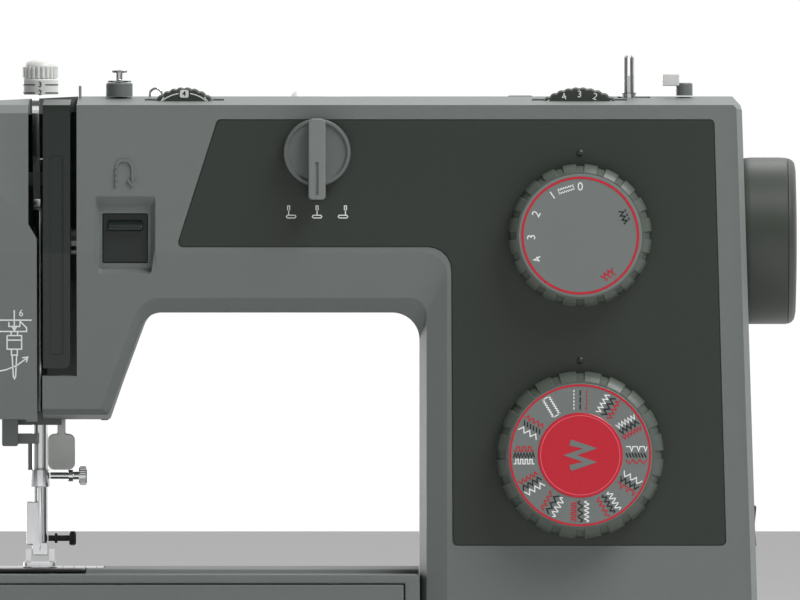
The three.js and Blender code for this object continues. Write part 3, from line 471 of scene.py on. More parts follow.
seat_ring = rod("x", wheel, wheel_radius + 5, wheel_low.x - wheel.x - 6, wheel_low.x - wheel.x, 64)
seat_ring = carve(seat_ring, brick((0, 300), (parting, parting + 90), (0, 400)))
front_shell = carve(front_skin(), seat_ring, operation="UNION")
recess_low = Vector((reverse_low.x - 4, 0, reverse_low.z - 5.4))
recess_high = Vector((reverse_high.x + 3.9, 0, reverse_high.z + 8))
front_shell = carve(
    front_shell, prism(panel_outline(0.35), front - 3, front + 1.3),
    rod("x", wheel, wheel_radius + 1.3, wheel_low.x - wheel.x - 0.6, 40, 64),
    brick((recess_low.x, recess_high.x), (front - 5, front + 12), (recess_low.z, recess_high.z)),
    thumb_slot(tension, tension_radius), thumb_slot(width_dial, width_radius),
    brick((winder.x - 5, winder.x + 9.5), (winder.y - 4.6, winder.y + 4.6), through_top),
    side_opening(switch_low, switch_high, 0.6, 1), side_opening(inlet_low, inlet_high, 0.4, 0.4))
piece(
    "front_casing", soften(front_shell, 0.5, angle=9), casing_grey, "casing",
    ["front_cover"])

# ---------------------------------------------------------------- rear casing and face cover
# The rear half of the casing and the hinged left end cover, moulded in the same plastic.
# They keep the shapes of the frame, with the sharp edges rounded as a mould leaves them.


def shape_of(node):
    """The shape of a node of the frame, in millimetres."""
    bm = bmesh.new()
    bm.from_mesh(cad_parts[node].data)
    bmesh.ops.scale(bm, vec=(1000, 1000, 1000), verts=bm.verts)
    return bm


def refined(name, node, material, body, width, angle=28):
    piece(name, soften(shape_of(node), width, angle), material, body, [node])


refined("rear_casing", "rear_cover", casing_grey, "casing", 1.0)

cover_low, cover_high = corners_of("face_cover")
notch_low, notch_high = crease + 6.3, crease + 13.2
slab = brick(
    (cover_low.x + 3, cover_high.x - 0.5), (front + 1, front + 25), (cover_low.z + 1, crease + 2))
lip = prism([
    (cover_high.x - 1, cover_low.z), (slot_left_wall - 2.4, cover_low.z),
    (slot_left_wall - 2.4, notch_low), (cover_high.x - 1, notch_high + 1)], front, front + 25)
wedge_depth = lean * (crease - cover_low.z + 12)
wedge = prism([
    (front - 5, crease), (front, crease), (front + wedge_depth, cover_low.z - 12),
    (front - 5, cover_low.z - 12)], cover_low.x - 5, slot_left_wall, "x")
cover = carve(carve(shape_of("face_cover"), slab, lip, operation="UNION"), wedge)
piece("end_cover", soften(cover, 0.9, 9), casing_grey, "casing", ["face_cover"])

# ---------------------------------------------------------------- dark panel and thread insert
# A flat inlay of very dark plastic in a shallow pocket of the front cover, and the narrow
# strip of the same plastic beside the thread slot, with a long shallow channel down it.



def round_box(left, right, low, high, radius_low, radius_high):
    """The outline of an upright rectangle with rounded corners."""
    return rounded([
        (left, low, radius_low), (right, low, radius_low), (right, high, radius_high),
        (left, high, radius_high)])


panel_dark = moulded("panel_dark", linear(38, 45, 38), 0.42, 0.18)
strip_dark = moulded("strip_dark", linear(24, 33, 28), 0.4, 0.15)
panel = prism(panel_outline(), front, front + 1.1)
length_dial, pattern_dial = middle_of("length_dial"), middle_of("pattern_dial")
length_radius = radius_of("length_dial")
pattern_radius = radius_of("pattern_dial")
soften(panel, 0.25)
for dial, radius in ((length_dial, length_radius), (pattern_dial, pattern_radius)):
    turned(
        [(0, -0.9), (0.9, -0.75), (1.5, -0.3), (1.7, 0.4), (0, 0.4)], "y",
        (dial.x, front, dial.z + radius + 4.7), 24, panel)
piece("front_panel", panel, panel_dark, "casing", ["control_panel"])

insert_low, insert_high = corners_of("thread_insert")
strip_right = insert_low.x + 12.1
strip_back = insert_high.y
profile = [
    (on_face(insert_low.z), insert_low.z), (front, crease), (front, top - 7.5),
    (front + 0.4, top - 3.9), (-24, top - 1.4), (-24, top - 4.4), (strip_back, top - 8),
    (strip_back, insert_low.z)]
strip = prism(profile, insert_low.x, strip_right, "x")
outline_corners = [
    (insert_low.x - 1, insert_low.z, 0.5), (strip_right, insert_low.z, 3),
    (strip_right, top + 5, 0), (insert_low.x - 1, top + 5, 0)]
outline = prism(rounded(outline_corners), front - 5, 0)
channel_outline = round_box(
    insert_low.x + 3.2, strip_right - 3.2, insert_low.z + 6, top - 26, 1.5, 1.5)
channel_floor = [
    (front + 0.5, top), (front + 0.5, crease), (profile[0][0] + 0.5, insert_low.z),
    (10, insert_low.z), (10, top)]
channel = carve(
    prism(channel_outline, front - 8, 0),
    prism(channel_floor, insert_low.x - 2, strip_right + 2, "x"))
piece(
    "slot_strip", soften(carve(carve(strip, outline, operation="INTERSECT"), channel), 0.5, 9),
    strip_dark, "casing", ["thread_insert"])

# ---------------------------------------------------------------- stitch dials
# Two big turned knobs of satin plastic with twenty finger notches round the bevelled rim.
# Numbers and stitch signs are pad printed; the pattern dial has a glossy red middle.

dial_grey = moulded("dial_grey", linear(112, 118, 116), 0.38, 0.08)
rim_grey = moulded("rim_grey", linear(78, 85, 78), 0.42, 0.12)


def ink(name, colour, roughness=0.4):
    finish = Finish(name)
    patch = finish.noise(600, 2)
    darker = tuple(c * 0.94 for c in colour)
    return finish.surface(
        Base_Color=finish.mix(patch, darker, colour), Roughness=roughness + (patch - 0.5) * 0.15)


white_ink = ink("white_ink", linear(236, 238, 236))
black_ink = ink("black_ink", linear(22, 23, 23))
red_ink = ink("red_ink", linear(192, 12, 38), 0.3)


def ringed(centre, levels):
    """A solid over closed rings, each a depth and a list of (angle, radius) pairs."""
    bm = bmesh.new()
    previous = None
    for depth, ring_points in levels:
        verts = [
            bm.verts.new((centre.x + r * math.sin(a), depth, centre.z + r * math.cos(a))) for a,
            r in ring_points]
        edges = closed_edges(bm, verts)
        if previous:
            bmesh.ops.bridge_loops(bm, edges=previous + edges)
        else:
            bmesh.ops.contextual_create(bm, geom=edges)
        previous = edges
    bmesh.ops.contextual_create(bm, geom=previous)
    return outwards(bm)


def notched_knob(centre, rings, notches, half_angle, notch_radius):
    """A knob on the front: rings of (radius, depth) from the face back, cut by finger notches."""
    pitch = math.tau / notches
    offsets = [
        (-half_angle * 1.25, False), (-half_angle, True), (0, True), (half_angle, True),
        (half_angle * 1.25, False)]
    offsets += [(half_angle * 1.25 + (pitch - half_angle * 2.5) * k / 3, False) for k in (1, 2)]
    levels = []
    for radius, depth in rings:
        dip = 0.9 if radius > notch_radius else 0
        levels.append((
            depth,
            [
                (i * pitch + offset, radius - dip if notched else radius) for i in range(notches)
                for offset, notched in offsets]))
    return ringed(centre, levels)


def ribbon(points, width):
    """The outline of a stroke of this width along the points."""
    sides = ([], [])
    for i, point in enumerate(points):
        here = Vector(point)
        back = here - Vector(points[i - 1]) if i else Vector(points[1]) - here
        ahead = Vector(points[i + 1]) - here if i < len(points) - 1 else back
        along = (back.normalized() + ahead.normalized()).normalized()
        across = Vector((-along.y, along.x))
        beside = Vector((-back.y, back.x)).normalized()
        reach = width / 2 / max(0.45, abs(across.dot(beside)))
        sides[0].append(tuple(here + across * reach))
        sides[1].append(tuple(here - across * reach))
    return sides[0] + sides[1][::-1]


def printed(lines, width, centre, depth, turn=0, thickness=0.1, into=None):
    """Flat strokes on a front face, turned clockwise about the centre by degrees."""
    bm = into or bmesh.new()
    spin = Matrix.Rotation(-math.radians(turn), 2)
    for line in lines:
        outline = [spin @ Vector(p) for p in ribbon(line, width)]
        prism(
            [(centre.x + p.x, centre.z + p.y) for p in outline], depth - thickness, depth + 0.05,
            into=bm)
    return bm


def numeral(text, size, centre, depth, turn=0, out=0, bold=0.02, into=None):
    """Figures on a front face, with their tops outwards at a distance from the centre."""
    curve = bpy.data.curves.new("figures", "FONT")
    curve.body, curve.size, curve.extrude, curve.offset = text, size, 0.08, bold
    curve.align_x, curve.align_y, curve.resolution_u = "CENTER", "CENTER", 3
    shape = bpy.data.objects.new("figures", curve)
    scene.collection.objects.link(shape)
    figure = bpy.data.meshes.new_from_object(
        shape.evaluated_get(bpy.context.evaluated_depsgraph_get()))
    bpy.data.curves.remove(curve)
    place = Matrix.Translation((centre.x, depth - 0.02, centre.z))
    place @= Matrix.Rotation(math.radians(turn), 4, "Y") @ Matrix.Translation((0, 0, out))
    figure.transform(place @ Matrix.Rotation(math.pi / 2, 4, "X"))
    bm = into or bmesh.new()
    bm.from_mesh(figure)
    bpy.data.meshes.remove(figure)
    bmesh.ops.remove_doubles(bm, verts=bm.verts, dist=0.0005)
    return bm


def ring(centre, depth, outer, inner, thickness=0.12):
    return turned(
        [(inner, 0.05), (inner, -thickness), (outer, -thickness), (outer, 0.05), (inner, 0.05)],
        "y", (centre.x, depth, centre.z), 96)


def stitch_knob(name, centre, face, insets, face_inset, half_notch, notch_inset, line):
    """Face, notched rim and red line of a big dial; insets are (from the edge, behind the face)."""
    node = name + "_dial"
    radius, back = radius_of(node), corners_of(node)[1].y
    disc = [
        (0, 0), (radius - face_inset - 0.4, 0), (radius - face_inset, 0.4),
        (radius - face_inset, 1), (0, 1)]
    rings = [(radius - inset, face + behind) for inset, behind in insets]
    rings += [(radius, back - 1.2), (radius - 1, back)]
    rim = notched_knob(centre, rings, 20, half_notch / radius, radius - notch_inset)
    piece(
        name + "_face", turned(disc, "y", (centre.x, face, centre.z), 96), dial_grey, node)
    piece(name + "_rim", rim, rim_grey, node, [node])
    piece(name + "_ring", ring(centre, face, *line), red_ink, node)


length_face = corners_of("length_dial")[0].y
length_insets = ((4.3, 0.2), (3.6, 0.25), (1.8, 1.6), (0.6, 3.4), (0, 5.6))
stitch_knob("length", length_dial, length_face, length_insets, 4.2, 1.6, 2.3, (25.9, 24.9))

figures = bmesh.new()
for text, degrees in (("0", 0), ("1", -34.6), ("2", -63.8), ("3", -91.8), ("4", -119)):
    numeral(text, 5.2, length_dial, length_face, degrees, 21.4, into=figures)


def ladder(length, half, rungs):
    """The buttonhole sign: two dense zigzag sides and a bar at each end."""
    sides = [
        [(side + (0.32 if i % 2 else -0.32), length * i / rungs) for i in range(rungs + 1)]
        for side in (-half, half)]
    bars = [[(-half - 0.5, v), (half + 0.5, v)] for v in (0.3, length - 0.3)]
    return sides + bars


def placed(lines, across=0.0, along=0.0, sideways=False):
    return [
        [(v + across, u + along) if sideways else (u + across, v + along) for u, v in line]
        for line in lines]


printed(
    placed(ladder(7.4, 0.8, 13), -3.7, 21.2, True), 0.35, length_dial, length_face, -17,
    into=figures)
piece("length_figures", figures, white_ink, "length_dial")


def zigzag(length, steps, half):
    return [[(half if i % 2 else -half, length * i / steps) for i in range(steps + 1)]]


def wave(length, turns, half):
    steps = turns * 8
    points = range(steps + 1)
    return [[(half * math.sin(math.tau * turns * i / steps), length * i / steps) for i in points]]


def dashes(length, count, filled=0.62):
    return [[(0, length * i / count), (0, length * (i + filled) / count)] for i in range(count)]


def square_wave(length, steps, half):
    line = []
    for i in range(steps):
        side = half if i % 2 else -half
        line += [(side, length * i / steps), (side, length * (i + 1) / steps)]
    return [line]


def blind_hem(length, half):
    line = []
    for i in range(3):
        base = length * i / 3
        line += [(-half, base), (-half, base + length * 0.2), (half, base + length * 0.267)]
    return [line + [(-half, length)]]


def slanted(length, count, half):
    return [[(-half, length * i / count), (half, length * (i + 0.7) / count)] for i in range(count)]


def shells(length, count, half):
    line = []
    for i in range(count):
        base = length * i / count
        line += [
            (-half, base), (half * 0.2, base + length * 0.25 / count),
            (half, base + length * 0.5 / count), (half * 0.2, base + length * 0.75 / count)]
    return [line + [(-half, length)]]


for sign, degrees, colour in (
        ("stretch_sign_dark", 66.8, black_ink), ("stretch_sign_red", 144.6, red_ink)):
    stretch = printed(
        placed(zigzag(6, 6, 1.0), -3, 20.6, True), 0.6, length_dial, length_face, degrees)
    printed(
        placed(dashes(6, 3), -3, 22.6, True), 0.5, length_dial, length_face, degrees, into=stretch)
    piece(sign, stretch, colour, "length_dial")

pattern_face = corners_of("pattern_dial")[0].y + 0.4
pattern_insets = ((5.1, 0.2), (4.3, 0.25), (2.2, 1.7), (0.7, 3.8), (0, 6.4))
stitch_knob("pattern", pattern_dial, pattern_face, pattern_insets, 5, 1.7, 2.7, (31.2, 30.3))
red_gloss = moulded("red_gloss", linear(192, 10, 38), 0.3, 0.03, 0.03)
piece(
    "pattern_middle",
    turned(
        [(0, -0.3), (18.4, -0.3), (18.7, -0.05), (18.7, 0.2), (0, 0.2)], "y",
        (pattern_dial.x, pattern_face, pattern_dial.z), 96), red_gloss, "pattern_dial")
piece(
    "pattern_middle_line", ring(pattern_dial, pattern_face - 0.3, 17.6, 17.25, 0.08),
    ink("pink_ink", linear(232, 92, 112)), "pattern_dial")
piece(
    "pattern_sign",
    printed(
        [[(-4.4, 5.6), (4.4, 3), (-4.4, 0), (4.4, -3), (-4.4, -5.6)]], 2.7, pattern_dial,
        pattern_face - 0.3), dial_grey, "pattern_dial")

reach = 9.2
stitch_signs = {
    0: ((dashes, 6), (dashes, 3, 0.75), (dashes, 5)),
    30: ((zigzag, 9, 1.0), (zigzag, 7, 1.1), (zigzag, 9, 1.0)),
    60: ((zigzag, 12, 1.0), (zigzag, 9, 1.1), (zigzag, 12, 1.0)),
    90: ((blind_hem, 1.0), (slanted, 7, 1.0), (zigzag, 6, 0.9)),
    120: ((shells, 3, 1.1), (zigzag, 8, 1.0), (blind_hem, 1.0)),
    150: ((wave, 4, 1.1), (wave, 4, 0.9), (zigzag, 8, 0.9)),
    180: ((wave, 5, 0.9), (wave, 3, 1.0), (square_wave, 9, 0.9)),
    210: ((wave, 4, 1.1), (zigzag, 6, 1.0), (wave, 4, 0.9)),
    240: ((zigzag, 7, 1.1), (shells, 4, 1.0), (zigzag, 9, 0.9)),
    270: ((square_wave, 9, 1.0), (zigzag, 14, 1.1), (square_wave, 7, 0.9)),
    300: ((zigzag, 6, 1.1), (slanted, 6, 1.0), (shells, 4, 0.9))}
for strip, (name, colour, width) in enumerate(
        (("white", white_ink, 0.5), ("black", black_ink, 0.6), ("red", red_ink, 0.5))):
    signs = bmesh.new()
    for degrees, strips in stitch_signs.items():
        maker, *values = strips[strip]
        printed(
            placed(maker(reach, *values), (strip - 1) * 2.8, 20.1), width, pattern_dial,
            pattern_face, degrees, into=signs)
    if name == "white":
        printed(
            placed(ladder(9.6, 1.5, 17), 0, 20), 0.5, pattern_dial, pattern_face, 329, into=signs)
    piece("pattern_signs_" + name, signs, colour, "pattern_dial")

sign_spot = Vector((needle_x - 10.4, 0, top - 108))
thread_path = [
    [(0, 13.8), (0, 5.6)], [(-1.2, 7), (0, 4.8), (1.2, 7)], [(-9, 9.4), (7.6, 9.4)],
    [(-2.4, 8.6), (-2.4, 6.6), (2.4, 6.6), (2.6, 8.8), (5.4, 6), (5.4, 4.4), (-9, 4.4)],
    [(-1.4, 4.2), (-1.4, 2.8)], [(1.4, 4.2), (1.4, 2.8)],
    [(-3.2, 2.6), (3.2, 2.6), (3.2, -3.4), (-3.2, -3.4), (-3.2, 2.6)], [(-3.2, 0.6), (3.2, 0.6)],
    [(-1.3, -3.6), (-1.3, -6), (1.3, -6), (1.3, -3.6)],
    [(-1, -6.2), (-0.5, -15.4), (0, -16.4), (0.5, -15.4), (1, -6.2)],
    [(-9, -13.4), (-4, -12.6), (1, -10.6), (5.4, -7.4)], [(3.4, -7.2), (5.9, -6.9), (5.2, -9.2)]]
sign_depth = on_face(sign_spot.z)
sign_bm = printed(thread_path, 0.6, sign_spot, sign_depth, thickness=0.15)
numeral("6", 4.2, sign_spot + Vector((3, 0, 12.4)), sign_depth, into=sign_bm)
for vert in sign_bm.verts:
    vert.co.y += lean * (sign_spot.z - vert.co.z)
piece("thread_path_sign", sign_bm, white_ink, "casing")

# ---------------------------------------------------------------- needle position knob
# A small round knob with a raised finger bar, in the dial plastic. A groove along the lower
# half of the bar is the pointer, and three signs printed on the panel show what it points at.

knob_low, knob_high = corners_of("needle_position_knob")
knob = middle_of("needle_position_knob")
knob_radius = 14.9
knob_z = knob_low.z + 20.8
bar_half = 3.8
knob_disc = turned([
    (0, -6.8), (knob_radius - 2.6, -6.8), (knob_radius - 1.4, -7.8), (knob_radius - 0.5, -7.6),
    (knob_radius, -6.6), (knob_radius, -1.2), (0, -1.2)], "y", (knob.x, front, knob_z), 64)
bar_outline = round_box(knob.x - bar_half, knob.x + bar_half, knob_low.z, knob_high.z, 1.6, 2.4)
knob_bar = prism(bar_outline, knob_low.y, front - 1.5)
soften(knob_bar, 0.8, 40)
groove = brick(
    (knob.x - 0.7, knob.x + 0.7), (knob_low.y - 1, knob_low.y + 0.9),
    (knob_low.z + 2.3, knob_z - 4.2))
piece(
    "position_disc", knob_disc, moulded("disc_grey", linear(96, 101, 100), 0.4, 0.08),
    "needle_position_knob", ["needle_position_knob"])
piece(
    "position_bar", carve(knob_bar, groove), moulded("bar_grey", linear(117, 122, 120), 0.4, 0.08),
    "needle_position_knob")
position_signs = bmesh.new()
for step in (-1, 0, 1):
    spot = Vector((knob.x + step * 11.4, 0, top - 51.2))
    slot_line = [
        (-1.7, -2.4), (1.7, -2.4), (2.1, -1.8), (1.7, -1.2), (-1.7, -1.2), (-2.1, -1.8),
        (-1.7, -2.4)]
    needle_sign = [
        [(step * 1.1, -1.0), (step * 1.1, 0.9)],
        [(step * 1.1 - 0.45, 1.0), (step * 1.1 - 0.45, 2.9)],
        [(step * 1.1 + 0.45, 1.0), (step * 1.1 + 0.45, 2.9)],
        [(step * 1.1 - 0.7, 2.9), (step * 1.1 + 0.7, 2.9)]]
    printed([slot_line] + needle_sign, 0.42, spot, front, into=position_signs)
piece("position_signs", position_signs, white_ink, "casing")

# ---------------------------------------------------------------- reverse lever
# A dark rocker with a ridge for the thumb, in a recess with a bevelled frame. The turn-back
# arrow above it is raised from the moulding of the front cover.

recess_depth = 4.2
frame_thick = 0.9
outer_mouth = [
    (recess_low.x + 0.3, recess_high.z - 0.2, 1.2), (recess_high.x - 0.3, recess_high.z - 0.2, 1.2),
    (recess_high.x - 0.3, recess_low.z + 12, 6), (recess_high.x - 2, recess_low.z + 0.3, 2),
    (recess_low.x + 2, recess_low.z + 0.3, 2), (recess_low.x + 0.3, recess_low.z + 12, 6)]
opening = [
    (reverse_low.x - 0.35, reverse_low.z - 0.35), (reverse_high.x + 0.35, reverse_high.z + 0.35)]


def mouth_within(margin_x, margin_top, margin_bottom, radius):
    left, right = opening[0][0] - margin_x, opening[1][0] + margin_x
    low, high = opening[0][1] - margin_bottom, opening[1][1] + margin_top
    return [
        (left, high, radius), (right, high, radius), (right, (low + high) / 2, 4),
        (right, low, radius), (left, low, radius), (left, (low + high) / 2, 4)]


border = [
    (recess_low.x - 0.5, recess_high.z + 0.5, 0.5), (recess_high.x + 0.5, recess_high.z + 0.5, 0.5),
    (recess_high.x + 0.5, recess_low.z + 12, 0.5), (recess_high.x + 0.5, recess_low.z - 0.5, 0.5),
    (recess_low.x - 0.5, recess_low.z - 0.5, 0.5), (recess_low.x - 0.5, recess_low.z + 12, 0.5)]


recess = bmesh.new()
levels = []
recess_back = recess_depth + frame_thick
for outline, depth in (
        (border, 0.05), (outer_mouth, 0.05), (mouth_within(1.3, 3.7, 2.5, 1.2), recess_depth),
        (mouth_within(0, 0, 0, 0.8), recess_depth), (mouth_within(0, 0, 0, 0.8), recess_back),
        (border, recess_back)):
    verts = [recess.verts.new((x, on_face(z) + depth, z)) for x, z in rounded(outline, 4)]
    levels.append(closed_edges(recess, verts))
for near, far in zip(levels, levels[1:] + levels[:1]):
    bmesh.ops.bridge_loops(recess, edges=near + far)
piece("reverse_recess", outwards(recess), casing_grey, "casing", smooth=20)

button_face = front + recess_back + 1.1
button_high = reverse_high.z
button = brick(
    (reverse_low.x, reverse_high.x), (button_face, reverse_high.y - 3),
    (reverse_low.z, button_high))
ridge = prism([
    (button_face + 1, button_high - 7.8), (button_face - 3.2, button_high - 7),
    (button_face - 3, button_high - 5.2), (button_face + 1, button_high - 1.6)],
    opening[0][0] + 2.4, opening[1][0] - 2.4, "x")
soften(ridge, 0.7, 20)
piece(
    "reverse_button", soften(carve(button, ridge, operation="UNION"), 0.4, 35), strip_dark,
    "reverse_lever", ["reverse_lever"])
sign = Vector((reverse_low.x + 9.4, 0, reverse_high.z + 18.6))
turn_back = [
    arc(0, 1.6, 3.6, 0, 180, 10), [(3.6, 1.6), (3.6, -4.8)], [(1.4, -3.4), (3.6, -6), (5.8, -3.4)]]
turn_back += [[(-3.6, v), (-3.6, v + 1.7)] for v in (-6.2, -3.7, -1.2)]
piece(
    "reverse_sign", printed(turn_back, 0.9, sign, front, thickness=0.9), casing_grey, "casing")

# ---------------------------------------------------------------- width and tension dials
# Two thin wheels that stand up through slots in the top, turned by the thumb. Their edges
# are scalloped, and the figures are printed on the front face just inside the edge.

wheel_dark = moulded("wheel_dark", linear(56, 61, 55), 0.42, 0.08)


def thumb_dial(name, node, centre, radius, teeth):
    low, high = corners_of(node)
    rings = [
        (radius - 3.4, low.y), (radius - 0.8, low.y + 0.5), (radius, low.y + 1.6),
        (radius, high.y - 1.6), (radius - 0.8, high.y - 0.5), (radius - 3.4, high.y)]
    around = [math.tau * i / (teeth * 6) for i in range(teeth * 6)]
    levels = []
    for r, y in rings:
        depth = 0.55 if r > radius - 1 else 0
        levels.append((y, [(a, r - depth * (1 - abs(math.sin(a * teeth / 2)))) for a in around]))
    piece(name, ringed(centre, levels), wheel_dark, node, [node])


thumb_dial("tension_wheel", "tension_dial", tension, tension_radius, 34)
thumb_dial("width_wheel", "width_dial", width_dial, width_radius, 48)
dial_marks = bmesh.new()
face_y = corners_of("tension_dial")[0].y
figure_out = tension_radius - 2.9
figure_z = tension.z + figure_out
window = round_box(tension.x - 1.9, tension.x + 1.9, figure_z - 1.7, figure_z + 1.7, 0.7, 0.7)
prism(window, face_y - 0.1, face_y + 0.05, into=dial_marks)
piece(
    "tension_figure", numeral("4", 3.2, tension, face_y - 0.1, 0, figure_out, 0.04), black_ink,
    "tension_dial")
for side in (-1, 1):
    sweep = [
        (side * (tension_radius - 2.6) * math.sin(a), (tension_radius - 2.6) * math.cos(a))
        for a in (0.16 + 0.07 * k for k in range(8))]
    printed([sweep], 0.5, tension, face_y, into=dial_marks)
    tip = Vector(sweep[-1])
    printed([
        [
            (tip.x - side * 0.6, tip.y + 1.5), (tip.x + side * 0.7, tip.y - 0.5),
            (tip.x - side * 1.4, tip.y - 1)]], 0.45, tension, face_y, into=dial_marks)
piece("tension_marks", dial_marks, white_ink, "tension_dial")
width_marks = bmesh.new()
for i, figure in enumerate("54321"):
    numeral(figure, 4.2, width_dial, face_y, -34 + 17 * i, width_radius - 3.2, 0.03, width_marks)
piece("width_marks", width_marks, white_ink, "width_dial")

# ---------------------------------------------------------------- presser pressure knob
# A white knob on top of the presser bar, with a fine ribbed band for the fingers above
# a smooth collar that carries the pressure scale.

white_plastic = moulded("white_plastic", linear(226, 228, 224), 0.35, 0.05, 0.03)
pressure_low, pressure_high = corners_of("pressure_dial")
pressure = middle_of("pressure_dial")
pressure_radius = (pressure_high.x - pressure_low.x) / 2
pressure_base = top + 0.8
pressure_height = pressure_high.z - pressure_base
pressure_knob = turned([
    (0, 0), (pressure_radius - 0.1, 0), (pressure_radius - 0.1, 6.4), (pressure_radius - 0.8, 7),
    (pressure_radius - 0.8, pressure_height - 3.2), (pressure_radius - 1.4, pressure_height - 1.6),
    (pressure_radius - 2.6, pressure_height - 0.6), (pressure_radius - 4, pressure_height),
    (0, pressure_height)], "z", (pressure.x, pressure.y, pressure_base), 64)
ribs = 22
for i in range(ribs):
    angle = math.tau * i / ribs
    spot = (
        pressure.x + (pressure_radius - 0.9) * math.cos(angle),
        pressure.y + (pressure_radius - 0.9) * math.sin(angle), 0)
    rod("z", spot, 0.75, pressure_base + 7.4, pressure_high.z - 3, 8, pressure_knob)
piece(
    "pressure_knob", pressure_knob, white_plastic, "pressure_dial",
    ["pressure_dial"])
scale = bmesh.new()
for z, figure in ((pressure_base + 0.5, "2"), (pressure_base + 4.1, "3")):
    for side in (-1, 1):
        around = [math.radians(-90 + side * (17 + 9 * k)) for k in range(10)]
        bands = [
            (pressure.x + pressure_radius * math.cos(a), pressure.y + pressure_radius * math.sin(a))
            for a in around]
        inner = [tuple(pressure.xy + (Vector(p) - pressure.xy) * 0.95) for p in bands]
        prism(bands + inner[::-1], z, z + 0.5, "z", scale)
    numeral(
        figure, 3.4, Vector((pressure.x, 0, z + 0.3)), pressure.y - pressure_radius + 0.1, 0, 0,
        0.03, scale)
piece("pressure_scale", scale, black_ink, "pressure_dial")

# ---------------------------------------------------------------- handwheel
# A big satin dark wheel on the right end, crowned on its outer face, with a fine line
# round the rim and a shallow finger notch. It turns the main shaft by hand.

wheel_thick = wheel_high.x - wheel_low.x
edge = wheel_thick - 4
rim = (
    (2.2, 0), (1.2, 1), (0.3, 3.4), (0, 6), (0, edge - 0.4), (0.35, edge), (0.1, edge + 0.35),
    (0.9, edge + 1.9), (2.2, edge + 3), (5, edge + 3.6))
hand = turned([
    (0, 0), *((wheel_radius - inset, along) for inset, along in rim),
    (wheel_radius * 0.55, edge + 3.95), (0, wheel_thick)], "x", (wheel_low.x, wheel.y, wheel.z),
    128)
dent = turned(
    [(0, -11), (4, -9.5), (6.4, -5), (7, 0), (6.4, 5), (4, 9.5), (0, 11)], "x",
    (wheel_high.x + 2, wheel.y, wheel.z + wheel_radius + 3.6), 48)
piece("hand_wheel", carve(hand, dent), wheel_dark, "main_drive", ["handwheel"])

# ---------------------------------------------------------------- chrome rods and threads
# Turned and plated steel: the needle bar with its clamp, the presser bar with its foot,
# the winder spindle and the guides that the thread passes on its way down.


def metal(name, colour, roughness, scratch=0.06):
    finish = Finish(name)
    lines = finish.noise(900, 2, (1, 1, 0.06))
    haze = finish.noise(60, 2)
    return finish.surface(
        Base_Color=finish.mix(haze, tuple(c * 0.95 for c in colour), colour), Metallic=1.0,
        Roughness=roughness + (lines - 0.5) * scratch + (haze - 0.5) * 0.05)


chrome = metal("chrome", (0.82, 0.83, 0.84), 0.12)
steel = metal("steel", (0.55, 0.56, 0.57), 0.3, 0.15)
cast_metal = moulded("cast_metal", linear(96, 99, 98), 0.6, 0.5)


def capped(radius, start, end, soft=0.4):
    return [
        (0, start), (radius - soft, start), (radius, start + soft), (radius, end - soft),
        (radius - soft, end), (0, end)]


bar_low, bar_high = corners_of("needle_bar")
bar = middle_of("needle_bar")
bar_radius = (bar_high.x - bar_low.x) / 2
piece(
    "needle_bar_rod", turned(capped(bar_radius, bar_low.z, bar_high.z), "z", (bar.x, bar.y, 0), 40),
    chrome, "needle_bar", ["needle_bar"])
refined("clamp_block", "needle_clamp", chrome, "needle_bar", 0.35)
screw_low, screw_high = corners_of("needle_clamp_screw")
screw = middle_of("needle_clamp_screw")
screw_radius = radius_of("needle_clamp_screw")
shank_end = screw_low.x - screw_high.x
clamp_screw = turned([
    (0, shank_end), (1.5, shank_end), (1.5, -8.4), (2.6, -8.2), (2.6, -6.2), (1.75, -6),
    (1.75, -3.6), (screw_radius - 0.4, -3.5), (screw_radius, -3.1), (screw_radius, -0.4),
    (screw_radius - 0.4, 0), (0, 0)], "x", (screw_high.x, screw.y, screw.z), 40)
for i in range(24):
    angle = math.tau * i / 24
    out = (screw_radius - 0.05) * Vector((0, math.cos(angle), math.sin(angle)))
    rod("x", Vector((screw_high.x, screw.y, screw.z)) + out, 0.3, -3, -0.5, 6, clamp_screw)
piece("clamp_screw", clamp_screw, chrome, "needle_bar", ["needle_clamp_screw"])
needle_low, needle_high = corners_of("needle")
needle_length = needle_high.z - needle_low.z
piece(
    "sewing_needle",
    turned([
        (0, 0), (0.18, 1.6), (0.45, 4), (0.45, 16), (1.0, 18.5), (1.0, needle_length),
        (0, needle_length)], "z", (needle_x, middle_of("needle").y, needle_low.z), 24), chrome,
    "needle_bar", ["needle"])
for name, node, body, width in (
        ("take_up_arm", "take_up_lever", "take_up", 0.3),
        ("presser_rod", "presser_bar", "presser_bar", 0.3),
        ("foot_clamp", "foot_holder", "presser_bar", 0.4),
        ("sewing_foot", "presser_foot", "presser_foot", 0.25),
        ("thread_guide_wire", "wire_thread_guide", "casing", 0.12)):
    refined(name, node, chrome, body, width)
black_plastic = moulded("black_plastic", linear(30, 31, 30), 0.4, 0.1)
thumb_low, thumb_high = corners_of("foot_thumbscrew")
thumb = middle_of("foot_thumbscrew")
thumb_radius = radius_of("foot_thumbscrew")
screw_length = thumb_high.x - thumb_low.x
thumbscrew = turned([
    (0, 0), (1.3, 0), (1.3, 2.6), (2.2, 2.8), (2.2, 4), (1.3, 4.2), (1.3, screw_length - 3.2),
    (thumb_radius - 0.6, screw_length - 3.1), (thumb_radius, screw_length - 2.6),
    (thumb_radius, screw_length - 0.6), (thumb_radius - 0.6, screw_length), (0, screw_length)],
    "x", (thumb_low.x, thumb.y, thumb.z), 40)
piece("foot_screw", thumbscrew, black_plastic, "presser_bar", ["foot_thumbscrew"])
refined("foot_lifter", "presser_lifter", white_plastic, "presser_lifter", 0.7, 24)
refined("threader", "needle_threader", dial_grey, "needle_threader", 0.35)

